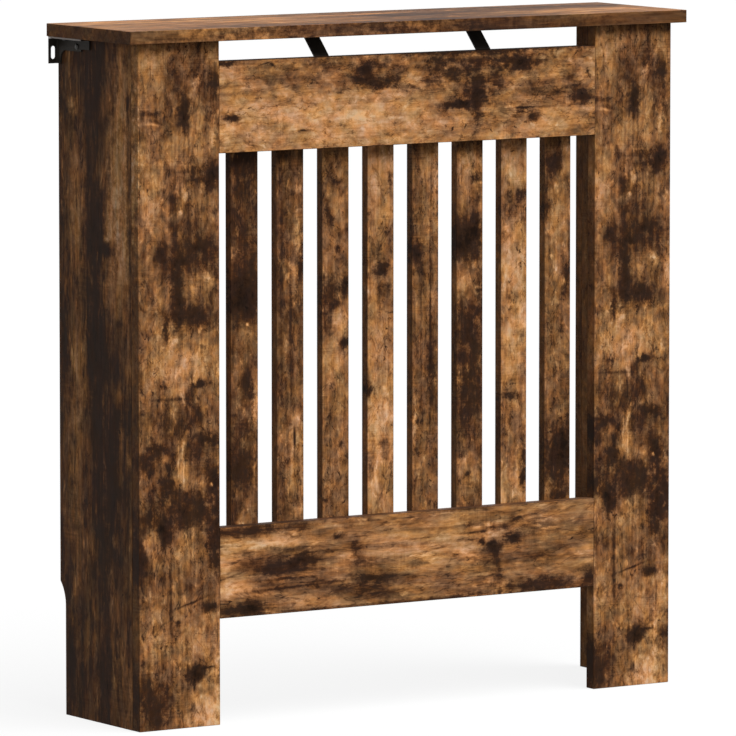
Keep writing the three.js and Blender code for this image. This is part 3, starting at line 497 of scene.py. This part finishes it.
def mark_group():
    """Lightens or darkens the tone inside one soft, ragged oval, more in some grains than in others."""
    group, given = new_group(
        "Oak print mark",
        {
            "Tone": FLOAT,
            "Face": VECTOR,
            "Grit": FLOAT,
            "Middle": VECTOR,
            "Half size": VECTOR,
            "Turn": FLOAT,
            "Lift": FLOAT,
        },
        {"Tone": FLOAT},
    )
    placed = add_node(group, "VectorMath", {0: given["Face"], 1: given["Middle"]}, operation="SUBTRACT")
    turned = add_node(
        group, "VectorRotate", {"Vector": placed[0], "Angle": given["Turn"]}, rotation_type="Z_AXIS"
    )
    sized = add_node(group, "VectorMath", {0: turned[0], 1: given["Half size"]}, operation="DIVIDE")
    distance = add_node(group, "VectorMath", {0: sized[0]}, operation="LENGTH")
    ragged = add_node(
        group,
        "Math",
        {0: given["Grit"], 1: MARK_RAGGEDNESS, 2: distance["Value"]},
        operation="MULTIPLY_ADD",
    )
    near = add_node(group, "MapRange", {"Value": ragged[0], "From Min": MARK_REACH, "From Max": MARK_CORE})
    inside = add_node(group, "Math", {0: near["Result"], 1: MARK_FALL_OFF}, operation="POWER")
    lifted = add_node(
        group, "Math", {0: inside[0], 1: given["Lift"], 2: given["Tone"]}, operation="MULTIPLY_ADD"
    )
    add_node(group, "NodeGroupOutput", {"Tone": lifted[0]})
    return group


def band_group():
    """1 on the board's narrow faces, where the edge band and its painted shade and light are, and 0 on its
    wide ones.

    The first two parts of Place and Half size run across and up the wide face.
    """
    group, given = new_group("Edge band", {"Place": VECTOR, "Half size": VECTOR}, {"Band": FLOAT})
    size = add_node(group, "VectorMath", {0: given["Place"]}, operation="ABSOLUTE")
    depth = add_node(group, "VectorMath", {0: given["Half size"], 1: size[0]}, operation="SUBTRACT")
    parts = add_node(group, "SeparateXYZ", {0: depth[0]})
    nearest = add_node(group, "Math", {0: parts[0], 1: parts[1]}, operation="MINIMUM")
    band = add_node(
        group,
        "MapRange",
        {"Value": nearest[0], "From Min": BAND_BEGIN, "From Max": BAND_FULL},
        interpolation_type="SMOOTHSTEP",
    )
    add_node(group, "NodeGroupOutput", {"Band": band["Result"]})
    return group


def finish_group(figure, colours):
    """Turns the tone into the print's colours, with saw scratches across the grain, specks and pores."""
    group, given = new_group(
        "Oak print finish",
        {"Tone": FLOAT, "Grain": VECTOR, "Fibre": FLOAT},
        {"Color": COLOUR, "Roughness": FLOAT, "Height": FLOAT},
    )
    grain = given["Grain"]
    noises = {
        name: add_node(group, "Group", {"Grain": grain, **values}, node_tree=figure)
        for name, values in FINISH_FIGURES.items()
    }
    # The scratches are thin lines across the grain, only where a slow noise lets them through.
    areas = noises["sawn areas"]["Share"]
    sawn = add_node(
        group, "MapRange", {"Value": areas, "From Min": 0.48, "From Max": 0.66, "To Max": SCRATCH_WEIGHT}
    )
    tone = given["Tone"]
    for name, weight in (("scratches", sawn["Result"]), ("specks", SPECK_WEIGHT)):
        swing = noises[name]["Swing"]
        tone = add_node(group, "Math", {0: swing, 1: weight, 2: tone}, operation="MULTIPLY_ADD")[0]
    share = add_node(group, "MapRange", {"Value": tone, "From Min": BLACKEST_TONE, "From Max": PALEST_TONE})
    tones = (
        (BLACKEST_TONE, colours.char),
        (0.1, colours.soot),
        (0.21, colours.smoke),
        (0.37, colours.brown),
        (0.54, colours.tan),
        (0.7, colours.golden),
        (0.88, colours.pale),
        (PALEST_TONE, colours.bleached),
    )
    shade = add_node(
        group,
        "ValToRGB",
        {"Fac": share["Result"]},
        stops=[((t - BLACKEST_TONE) / (PALEST_TONE - BLACKEST_TONE), colour) for t, colour in tones],
    )
    # Two casts, as shares of red, green and blue: one drifts between olive and reddish, the other
    # between greyed and orange.
    casts = {"tint": ((0.99, 1.0, 0.9), (1.0, 0.955, 0.98)), "dye": ((0.92, 1.0, 1.14), (1.1, 1.0, 0.84))}
    colour = shade["Color"]
    for name, (low, high) in casts.items():
        cast = add_node(
            group, "ValToRGB", {"Fac": noises[name]["Share"]}, stops=((CAST_BEGIN, low), (CAST_FULL, high))
        )
        colour = add_node(
            group, "Mix", {0: 1.0, 6: colour, 7: cast["Color"]}, data_type="RGBA", blend_type="MULTIPLY"
        )[2]
    rough = add_node(
        group,
        "MapRange",
        {"Value": given["Fibre"], "From Min": 0.3, "From Max": 0.7, "To Min": 0.62, "To Max": 0.48},
    )["Result"]
    height = add_node(
        group, "Math", {0: given["Fibre"], 1: noises["scratches"]["Share"]}, operation="ADD"
    )[0]
    add_node(group, "NodeGroupOutput", {"Color": colour, "Roughness": rough, "Height": height})
    return group


def oak_laminate(name, node, layout, groups):
    """Melamine-faced chipboard with a smoked oak print, pressed matt between textured plates.

    The eye sees a printed figure of blackened knots and golden sapwood under a thin, dull skin, with a
    faint tooth along the grain, and narrow edges whose band has a calmer figure. The band's tone is
    painted shade and light, standing in for how the lamp falls on the narrow faces.
    """
    material, tree = new_material(name)
    place = add_node(tree, "TexCoord")["Object"]
    parts = add_node(tree, "SeparateXYZ", {0: place})
    across, up, into = (parts[AXES[axis]] for axis in layout.axes)
    ordered = add_node(tree, "CombineXYZ", {0: across, 1: up, 2: into})[0]
    face = add_node(
        tree,
        "Mapping",
        {
            "Vector": ordered,
            "Location": layout.middle,
            "Rotation": (0, 0, math.radians(layout.turn)),
            "Scale": [PER_METRE * layout.scale] * 3,
        },
    )[0]
    offset = [step * layout.seed for step in SEED_STEP]
    seeded = add_node(tree, "VectorMath", {0: face, 1: offset}, operation="ADD")
    split = add_node(tree, "SeparateXYZ", {0: seeded[0]})
    along = 1 if layout.upright else 0
    stretched = add_node(tree, "Math", {0: split[along], 1: layout.stretch}, operation="DIVIDE")
    grain = add_node(tree, "CombineXYZ", {0: split[1 - along], 1: stretched[0], 2: split[2]})[0]
    figured, fibre = add_node(
        tree,
        "Group",
        {"Grain": grain, "Tone": layout.tone, "Clouds": layout.clouds},
        node_tree=groups["tone"],
    )
    low, high = (Vector(corner[AXES[axis]] for axis in layout.axes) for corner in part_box(node))
    centred = add_node(tree, "VectorMath", {0: ordered, 1: (low + high) / 2}, operation="SUBTRACT")
    in_mm = add_node(tree, "VectorMath", {0: centred[0], "Scale": PER_METRE}, operation="SCALE")
    band = add_node(
        tree,
        "Group",
        {"Place": in_mm[0], "Half size": (high - low) / 2 * PER_METRE},
        node_tree=groups["band"],
    )
    # The band: a calmer figure at the edge tone, which is painted shade and light on the narrow faces.
    calm_and_shaded = add_node(
        tree,
        "Math",
        {0: figured, 1: BAND_LIVELINESS, 2: layout.edge - BAND_LIVELINESS * layout.tone},
        operation="MULTIPLY_ADD",
    )
    tone = add_node(tree, "Mix", {0: band[0], 2: figured, 3: calm_and_shaded[0]})[0]
    warp = add_node(tree, "Group", {"Face": face}, node_tree=groups["warp"])
    for mark in layout.marks:
        narrow = min(mark.half_across, mark.half_up)
        push = "Thin" if narrow < THIN_MARK else "Fine" if narrow < FINE_MARK else "Coarse"
        tone = add_node(
            tree,
            "Group",
            {
                "Tone": tone,
                "Face": warp[push],
                "Grit": warp["Grit"],
                "Middle": (mark.across, mark.up, 0),
                "Half size": (mark.half_across, mark.half_up, MARK_DEPTH),
                "Turn": -math.radians(mark.turn),
                "Lift": mark.lift * (DARK_MARKS if mark.lift < 0 else LIGHT_MARKS),
            },
            node_tree=groups["mark"],
        )[0]
    finish = add_node(
        tree, "Group", {"Tone": tone, "Grain": grain, "Fibre": fibre}, node_tree=groups["finish"]
    )
    look = {"Base Color": finish["Color"], "Roughness": finish["Roughness"], "Specular IOR Level": 0.045}
    raised_surface(tree, finish["Height"], 0.35, PRINT_TOOTH, look)
    return material


# ---------- The fittings' finishes ----------

# Real sizes in millimetres: the powder coat's orange peel and its dusty patches, the zinc's spangle and
# the grit of its plating, and the beech's flecks along and across the grain
PEEL = 1.5
DUST = 12
SPANGLE = 3
GRIT = 0.4
FLECK_LENGTH = 12
FLECK_WIDTH = 0.6
PEEL_DEPTH = 0.05 * MM
GRIT_DEPTH = 0.02 * MM
FLECK_DEPTH = 0.05 * MM
DUSTY_GAIN = 1.5
DULL_GAIN = 0.6

# The painted highlight, a light line standing in for the reflection along the flange's outer edge, is this
# thin a layer of the flange's outer side, and the flange is this thick.
PAINTED_HIGHLIGHT_DEPTH = 0.4 * MM
FLANGE_GAUGE = 2.3 * MM


def painted_highlight_edge(tree, place, node):
    """1 on the outer edge of a wall bracket's flange, where a light line is painted as a highlight standing
    in for its reflection, else 0.
    """
    low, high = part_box(node)
    parts = add_node(tree, "SeparateXYZ", {0: place})
    out = add_node(tree, "Math", {0: parts[0]}, operation="ABSOLUTE")
    furthest = max(abs(low.x), abs(high.x))
    outer = add_node(tree, "Math", {0: out[0], 1: furthest - PAINTED_HIGHLIGHT_DEPTH}, operation="GREATER_THAN")
    upper = add_node(tree, "Math", {0: parts[2], 1: high.z - FLANGE_GAUGE}, operation="GREATER_THAN")
    share = add_node(tree, "Math", {0: outer[0], 1: upper[0]}, operation="MULTIPLY")
    return share[0]


def powder_coat(title, colours, painted_highlight_node=None):
    """Mild steel strip, cut, folded and powder-coated black: a deep, warm black with a fine orange peel.

    The brackets' flange gets a thin light grey line along its outer edge: a painted highlight standing in
    for the reflection there.
    """
    material, tree = new_material(title)
    place = add_node(tree, "TexCoord")["Object"]
    peel = add_node(tree, "TexNoise", {"Vector": place, "Scale": PER_METRE / PEEL, "Detail": 2})
    dust = add_node(tree, "TexNoise", {"Vector": place, "Scale": PER_METRE / DUST, "Detail": 4})
    dusty = [DUSTY_GAIN * channel for channel in colours.steel]
    shade = add_node(
        tree, "ValToRGB", {"Fac": dust["Fac"]}, stops=((0.35, colours.steel), (0.75, dusty))
    )["Color"]
    # Painted highlight: a light grey line on the flange's outer edge stands in for its reflection.
    if painted_highlight_node:
        highlight_mask = painted_highlight_edge(tree, place, painted_highlight_node)
        shade = add_node(
            tree, "Mix", {0: highlight_mask, 6: shade, 7: opaque(colours.painted_highlight_colour)}, data_type="RGBA"
        )[2]
    rough = add_node(
        tree,
        "MapRange",
        {"Value": dust["Fac"], "From Min": 0.3, "From Max": 0.7, "To Min": 0.38, "To Max": 0.5},
    )
    look = {"Base Color": shade, "Roughness": rough["Result"], "Specular IOR Level": 0.05}
    raised_surface(tree, peel["Fac"], 0.25, PEEL_DEPTH, look)
    return material


def zinc_plate(title, colour):
    """Zinc-plated steel, cold-headed: a soft, cloudy spangle, bright blue-grey or passivated black."""
    material, tree = new_material(title)
    place = add_node(tree, "TexCoord")["Object"]
    cloud = add_node(tree, "TexNoise", {"Vector": place, "Scale": PER_METRE / SPANGLE, "Detail": 4})
    dull = [DULL_GAIN * channel for channel in colour]
    shade = add_node(tree, "ValToRGB", {"Fac": cloud["Fac"]}, stops=((0.3, dull), (0.7, colour)))
    rough = add_node(
        tree,
        "MapRange",
        {"Value": cloud["Fac"], "From Min": 0.3, "From Max": 0.7, "To Min": 0.42, "To Max": 0.26},
    )
    grit = add_node(tree, "TexNoise", {"Vector": place, "Scale": PER_METRE / GRIT, "Detail": 2})
    look = {"Base Color": shade["Color"], "Metallic": 1.0, "Roughness": rough["Result"]}
    raised_surface(tree, grit["Fac"], 0.2, GRIT_DEPTH, look)
    return material


def turned_beech(pale, dark):
    """Beech dowel, turned and fluted: pale pinkish wood with short dark flecks along the grain."""
    material, tree = new_material("Beech, turned dowel")
    place = add_node(tree, "TexCoord")["Object"]
    scale = [PER_METRE / size for size in (FLECK_LENGTH, FLECK_WIDTH, FLECK_WIDTH)]
    fibres = add_node(tree, "VectorMath", {0: place, 1: scale}, operation="MULTIPLY")
    grain = add_node(tree, "TexNoise", {"Vector": fibres[0], "Scale": 1.0, "Detail": 4})
    shade = add_node(tree, "ValToRGB", {"Fac": grain["Fac"]}, stops=((0.35, dark), (0.6, pale)))
    look = {"Base Color": shade["Color"], "Roughness": 0.62, "Specular IOR Level": 0.3}
    raised_surface(tree, grain["Fac"], 0.3, FLECK_DEPTH, look)
    return material


# ---------- Properties ----------


def length_property(name, description, default):
    """A length that the user can change."""
    return bpy.props.FloatProperty(name=name, description=description, default=default, unit="LENGTH")


def colour_property(name, description, hex_colour):
    """A colour that the user can change, with its default as an sRGB hex value."""
    return bpy.props.FloatVectorProperty(
        name=name, description=description, default=linear(hex_colour), subtype="COLOR", min=0.0, max=1.0
    )


class CoverSizes(bpy.types.PropertyGroup):
    """Sizes that the add-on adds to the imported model."""

    screw_head_radius: length_property("Screw Head Radius", "Radius of the slat screws' heads", 3.5 * MM)
    screw_head_height: length_property("Screw Head Height", "Height of the slat screws' heads", 2.2 * MM)
    recess_width: length_property("Recess Width", "Width of each arm of the cross recess", 0.9 * MM)
    recess_length: length_property("Recess Length", "Full length of the cross recess", 4.2 * MM)
    recess_depth: length_property("Recess Depth", "Depth of the cross recess", 1.3 * MM)
    floor_size: length_property("Floor Size", "Length of each side of the floor", 80.0)


class CoverColours(bpy.types.PropertyGroup):
    """Colours of the oak print, from its knots to its palest sapwood, and of the fittings."""

    char: colour_property("Char", "Middle of a knot", "#1a0f08")
    soot: colour_property("Soot", "Rim of a knot", "#38251a")
    smoke: colour_property("Smoke", "Darkest wood", "#482e1d")
    brown: colour_property("Brown", "Smoked heartwood", "#69482e")
    tan: colour_property("Tan", "Lighter heartwood", "#8f6440")
    golden: colour_property("Golden", "Sapwood", "#b38153")
    pale: colour_property("Pale", "Palest sapwood", "#d09b6c")
    bleached: colour_property("Bleached", "Light specks", "#e4b78c")
    steel: colour_property("Steel", "Powder coat of the braces and brackets", "#39342f")
    # The flange edge's colour is a painted highlight, standing in for its reflection.
    painted_highlight_colour: colour_property("Painted Highlight", "Sheared edge of the brackets' flange", "#cfc6c0")
    zinc: colour_property("Zinc", "Plating of the screws, cams and bolts", "#c9ccd0")
    black_zinc: colour_property("Black Zinc", "Plating of the braces' and brackets' screws", "#3a3836")
    beech: colour_property("Beech", "Dowels", "#d3ac7c")
    beech_fleck: colour_property("Beech Fleck", "Flecks in the dowels", "#a87a4c")
    floor: colour_property("Floor", "Floor as the camera sees it", "#dcdcdc")
    floor_bounce: colour_property("Floor Bounce", "Floor as it lights the cover", "#5e5e5e")


class CoverLight(bpy.types.PropertyGroup):
    """Lamp and sky strengths."""

    key: bpy.props.FloatProperty(name="Key", description="Strength of the soft key lamp", default=4.3)
    key_softness: bpy.props.FloatProperty(
        name="Key Softness",
        description="Angle under which the key lamp is seen",
        default=math.radians(50),
        subtype="ANGLE",
        unit="ROTATION",
    )
    sky: bpy.props.FloatProperty(name="Sky", description="Strength of the light all round", default=0.34)


# ---------- Operators ----------

# How the print lies on the right pillar against the left one: in millimetres, a share and degrees
RIGHT_PRINT_SHIFT = 12.3
RIGHT_PRINT_DROP = -4.1
RIGHT_PRINT_SCALE = 1.011
RIGHT_PRINT_TURN = 0.79
FIRST_SLAT_SEED = 7
FIRST_PLAIN_SEED = 20
PLAIN_BOARDS = ("left_batten", "right_batten", "left_stile", "right_stile")


def middle_across(name):
    """Where a node's middle is on X, in millimetres."""
    low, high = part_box(name)
    return (low.x + high.x) / 2 * PER_METRE


def board_prints():
    """How the oak print lies on each board."""
    # Each edge value is painted shade and light on that board's narrow faces, apart from its tone; on the
    # rails it paints their lit top faces darker.
    pillar = Print("xzy", upright=True, tone=0.44, seed=1, marks=PILLAR_MARKS)
    side = Print("yzx", upright=True, tone=0.28, seed=2, marks=SIDE_MARKS, edge=0.2, stretch=2.2)
    rail = Print("xzy", upright=False, tone=0.65, seed=5, marks=UPPER_RAIL_MARKS, edge=0.25)
    prints = {
        "left_pillar_board": pillar._replace(middle=(-middle_across("left_pillar_board"), 0, 0), edge=0.36),
        "right_pillar_board": pillar._replace(
            middle=(RIGHT_PRINT_SHIFT - middle_across("right_pillar_board"), RIGHT_PRINT_DROP, 0),
            edge=0.44,
            scale=RIGHT_PRINT_SCALE,
            turn=RIGHT_PRINT_TURN,
        ),
        "left_side_panel": side,
        "right_side_panel": side._replace(seed=3),
        "top_board": Print(
            "xyz", upright=False, tone=0.46, seed=4, marks=TOP_MARKS, edge=0.36, stretch=4.0
        ),
        "upper_rail": rail,
        "lower_rail": rail._replace(tone=0.56, seed=6, marks=LOWER_RAIL_MARKS, stretch=2.0),
    }
    for index, (slat_marks, tone) in enumerate(zip(SLAT_MARKS, SLAT_TONES)):
        name = f"slat_{index + 1}"
        middle = (-middle_across(name), 0, 0)
        prints[name] = Print("xzy", True, tone, FIRST_SLAT_SEED + index, slat_marks, middle)
    for seed, name in enumerate(PLAIN_BOARDS, FIRST_PLAIN_SEED):
        prints[name] = Print("xzy", upright=True, tone=0.42, seed=seed, clouds=1.0, edge=0.4)
    return prints


def finish_node(name, material):
    """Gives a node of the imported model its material."""
    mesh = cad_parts[name].data
    mesh.materials.clear()
    mesh.materials.append(material)


class COVER_OT_boards(bpy.types.Operator):
    """Gives every board its oak print"""

    bl_idname = "cover.boards"
    bl_label = "Finish Boards"

    def execute(self, context):
        figure = figure_group()
        groups = {
            "tone": tone_group(figure),
            "warp": warp_group(),
            "mark": mark_group(),
            "band": band_group(),
            "finish": finish_group(figure, context.scene.cover_colours),
        }
        for name, layout in board_prints().items():
            title = "Melamine-faced chipboard, smoked oak print, " + name.replace("_", " ")
            finish_node(name, oak_laminate(title, name, layout, groups))
        return {"FINISHED"}


STEEL = "Powder-coated mild steel, folded"
ZINC = "Zinc-plated steel, cold-headed"
BLACK_ZINC = "Black zinc-plated steel, cold-headed"


class COVER_OT_fittings(bpy.types.Operator):
    """Gives the braces, brackets, cams, bolts, screws and dowels their finishes"""

    bl_idname = "cover.fittings"
    bl_label = "Finish Fittings"

    def execute(self, context):
        colours = context.scene.cover_colours
        steel = powder_coat(STEEL, colours)
        # This copy of the coat paints a highlight along the wall bracket's flange edge, standing in for its
        # reflection.
        painted_highlight = powder_coat(STEEL + " and sheared", colours, "left_wall_bracket")
        zinc = zinc_plate(ZINC, colours.zinc)
        black_zinc = zinc_plate(BLACK_ZINC, colours.black_zinc)
        beech = turned_beech(colours.beech, colours.beech_fleck)
        # The first word that a node's name holds decides.
        finishes = (
            ("_top_brace", steel),
            ("_wall_bracket", painted_highlight),
            ("_brace_", black_zinc),
            ("_bracket_", black_zinc),
            ("_screw_", zinc),
            ("_cam_", zinc),
            ("_dowel_", beech),
        )
        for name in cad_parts:
            fitting = next((material for word, material in finishes if word in name), None)
            if fitting:
                finish_node(name, fitting)
        return {"FINISHED"}


SCREW_SIDES = 24
RECESS_TAPER = 0.72
HEAD_CROWN = 0.35
MERGE_DISTANCE = 0.01 * MM


def pan_head_screw(name, place, sizes, material):
    """A pan-head screw with a cross recess, its head standing back from the slat along +Y."""
    mesh = bmesh.new()
    radius = sizes.screw_head_radius
    bmesh.ops.create_circle(mesh, cap_ends=True, radius=radius, segments=SCREW_SIDES)
    half_width = sizes.recess_width / 2
    half_length = sizes.recess_length / 2
    for axis in (Vector((1, 0, 0)), Vector((0, 1, 0))):
        for distance in (-half_length, -half_width, half_width, half_length):
            bmesh.ops.bisect_plane(
                mesh,
                geom=mesh.verts[:] + mesh.edges[:] + mesh.faces[:],
                plane_co=axis * distance,
                plane_no=axis,
            )
    # The recess: the faces inside the cross, sunk and narrowed towards its floor
    recess = []
    for face in mesh.faces:
        centre = face.calc_center_median()
        x, y = abs(centre.x), abs(centre.y)
        if min(x, y) < half_width and max(x, y) < half_length:
            recess.append(face)
    walls = bmesh.ops.extrude_face_region(mesh, geom=recess)
    bmesh.ops.delete(mesh, geom=recess, context="FACES_ONLY")
    floor = [v for v in walls["geom"] if isinstance(v, bmesh.types.BMVert)]
    bmesh.ops.translate(mesh, verts=floor, vec=(0, 0, -sizes.recess_depth))
    bmesh.ops.scale(mesh, verts=floor, vec=(RECESS_TAPER, RECESS_TAPER, 1.0))
    # The crown and the skirt, down to the slat
    for vert in mesh.verts:
        share = min(vert.co.xy.length / radius, 1.0)
        vert.co.z -= HEAD_CROWN * sizes.screw_head_height * share**2
    rim = [e for e in mesh.edges if e.is_boundary]
    skirt = bmesh.ops.extrude_edge_only(mesh, edges=rim)
    lowered = [v for v in skirt["geom"] if isinstance(v, bmesh.types.BMVert)]
    for vert in lowered:
        vert.co.z = -sizes.screw_head_height
    base = [e for e in mesh.edges if e.is_boundary]
    bmesh.ops.contextual_create(mesh, geom=base)
    bmesh.ops.remove_doubles(mesh, verts=mesh.verts, dist=MERGE_DISTANCE)
    bmesh.ops.recalc_face_normals(mesh, faces=mesh.faces)
    # The operators' order changes on each run, so corners and faces are sorted by place.
    corners = sorted(mesh.verts, key=lambda vert: vert.co.to_tuple(6))
    faces = sorted(mesh.faces, key=lambda face: face.calc_center_median().to_tuple(6))
    for parts in (corners, faces):
        for rank, part in enumerate(parts):
            part.index = rank
    mesh.verts.sort()
    mesh.faces.sort()
    stand = Matrix.Translation(place) @ Matrix.Rotation(math.radians(-90), 4, "X")
    bmesh.ops.transform(mesh, matrix=stand, verts=mesh.verts)
    data = bpy.data.meshes.new(name)
    mesh.to_mesh(data)
    mesh.free()
    data.materials.append(material)
    piece = bpy.data.objects.new(name, data)
    bpy.context.scene.collection.objects.link(piece)
    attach(piece, "root")
    return piece


class COVER_OT_slat_screws(bpy.types.Operator):
    """Adds the screws that hold the slats to the back of both rails"""

    bl_idname = "cover.slat_screws"
    bl_label = "Add Slat Screws"

    def execute(self, context):
        sizes = context.scene.cover_sizes
        zinc = bpy.data.materials[ZINC]
        lower_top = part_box("lower_rail")[1].z
        upper_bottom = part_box("upper_rail")[0].z
        for slat in range(1, len(SLAT_MARKS) + 1):
            low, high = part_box(f"slat_{slat}")
            middle = (low.x + high.x) / 2
            # Each screw is in the middle of the part of the slat that lies on the rail.
            heights = ((low.z + lower_top) / 2, (upper_bottom + high.z) / 2)
            for row, height in enumerate(heights, 1):
                place = Vector((middle, high.y + sizes.screw_head_height, height))
                pan_head_screw(f"slat_{slat}_screw_{row}", place, sizes, zinc)
        return {"FINISHED"}


# The camera's place in metres, turn in degrees and lens in millimetres, fitted so that the cover's
# corners fall where the photograph has them
CAMERA_PLACE = (-5.0379, -7.8056, 1.3770)
CAMERA_TURN = (83.975, 0.0, -32.8167)
CAMERA_LENS = 384.1
CAMERA_REACH = 200.0
KEY_DIRECTION = (0.32, -0.6, 1.1)
FLOOR_DROP = 0.2 * MM
FLOOR_GLOW = 0.87
WHITE = (1.0, 1.0, 1.0)


def background_share(tree):
    """1 for rays that see the white background: the camera's and those through gloss or glass."""
    path = add_node(tree, "LightPath")
    glossy = add_node(
        tree, "Math", {0: path["Is Camera Ray"], 1: path["Is Glossy Ray"]}, operation="MAXIMUM"
    )
    share = add_node(tree, "Math", {0: glossy[0], 1: path["Is Transmission Ray"]}, operation="MAXIMUM")
    return share[0]


class COVER_OT_stage(bpy.types.Operator):
    """Adds the floor, the lamp, the sky and the camera"""

    bl_idname = "cover.stage"
    bl_label = "Set Stage"

    def execute(self, context):
        scene = context.scene
        self.add_floor(scene)
        self.add_lights(scene)
        self.add_camera(scene)
        scene.view_settings.view_transform = "Standard"
        return {"FINISHED"}

    def add_floor(self, scene):
        """A pale studio floor, painted matt. The camera sees it paler than the light it gives back."""
        colours = scene.cover_colours
        mesh = bmesh.new()
        bmesh.ops.create_grid(mesh, x_segments=1, y_segments=1, size=scene.cover_sizes.floor_size / 2)
        bmesh.ops.translate(mesh, verts=mesh.verts, vec=(0, 0, -FLOOR_DROP))
        data = bpy.data.meshes.new("studio_floor")
        mesh.to_mesh(data)
        mesh.free()
        material, tree = new_material("Studio floor, painted matt")
        share = background_share(tree)
        shaded = add_node(tree, "BsdfDiffuse", {"Color": opaque(colours.floor)})
        glow = add_node(tree, "Emission", {"Color": opaque(WHITE), "Strength": 1.0})
        seen = add_node(tree, "MixShader", {0: FLOOR_GLOW, 1: shaded[0], 2: glow[0]})
        bounce = add_node(tree, "BsdfDiffuse", {"Color": opaque(colours.floor_bounce)})
        mixed = add_node(tree, "MixShader", {0: share, 1: bounce[0], 2: seen[0]})
        add_node(tree, "OutputMaterial", {"Surface": mixed[0]})
        data.materials.append(material)
        floor = bpy.data.objects.new("studio_floor", data)
        scene.collection.objects.link(floor)

    def add_lights(self, scene):
        """One broad lamp, high in front and to the right, and an even sky that the camera sees white."""
        light = scene.cover_light
        lamp = bpy.data.lights.new("key_lamp", "SUN")
        lamp.energy = light.key
        lamp.angle = light.key_softness
        key = bpy.data.objects.new("key_lamp", lamp)
        key.rotation_euler = Vector(KEY_DIRECTION).to_track_quat("Z", "Y").to_euler()
        scene.collection.objects.link(key)
        world = bpy.data.worlds.new("studio_sky")
        scene.world = world
        world.use_nodes = True
        tree = world.node_tree
        tree.nodes.clear()
        share = background_share(tree)
        dim, white = (
            add_node(tree, "Background", {"Color": opaque(WHITE), "Strength": strength})
            for strength in (light.sky, 1.0)
        )
        mixed = add_node(tree, "MixShader", {0: share, 1: dim[0], 2: white[0]})
        add_node(tree, "OutputWorld", {"Surface": mixed[0]})

    def add_camera(self, scene):
        """The camera at the photograph's place, turn and angle of view."""
        lens = bpy.data.cameras.new("camera")
        lens.lens = CAMERA_LENS
        lens.clip_end = CAMERA_REACH
        camera = bpy.data.objects.new("camera", lens)
        camera.location = CAMERA_PLACE
        camera.rotation_euler = [math.radians(angle) for angle in CAMERA_TURN]
        scene.collection.objects.link(camera)
        scene.camera = camera


# ---------- Panel ----------


class COVER_PT_panel(bpy.types.Panel):
    """Lists the operators and what they read"""

    bl_idname = "COVER_PT_panel"
    bl_label = "Radiator Cover"
    bl_space_type = "VIEW_3D"
    bl_region_type = "UI"
    bl_category = "Radiator Cover"

    def draw(self, context):
        layout = self.layout
        for operator in OPERATORS:
            layout.operator(operator.bl_idname)
        for group in (context.scene.cover_sizes, context.scene.cover_colours, context.scene.cover_light):
            box = layout.box()
            for name in group.bl_rna.properties.keys():
                if name not in ("rna_type", "name"):
                    box.prop(group, name)


OPERATORS = (COVER_OT_boards, COVER_OT_fittings, COVER_OT_slat_screws, COVER_OT_stage)
CLASSES = (CoverSizes, CoverColours, CoverLight, *OPERATORS, COVER_PT_panel)


def register():
    for cls in CLASSES:
        bpy.utils.register_class(cls)
    bpy.types.Scene.cover_sizes = bpy.props.PointerProperty(type=CoverSizes)
    bpy.types.Scene.cover_colours = bpy.props.PointerProperty(type=CoverColours)
    bpy.types.Scene.cover_light = bpy.props.PointerProperty(type=CoverLight)


def unregister():
    del bpy.types.Scene.cover_light
    del bpy.types.Scene.cover_colours
    del bpy.types.Scene.cover_sizes
    for cls in reversed(CLASSES):
        bpy.utils.unregister_class(cls)


def main():
    """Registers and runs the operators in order."""
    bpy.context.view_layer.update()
    register()
    bpy.ops.cover.boards()
    bpy.ops.cover.fittings()
    bpy.ops.cover.slat_screws()
    bpy.ops.cover.stage()


if __name__ == "__main__":
    main()
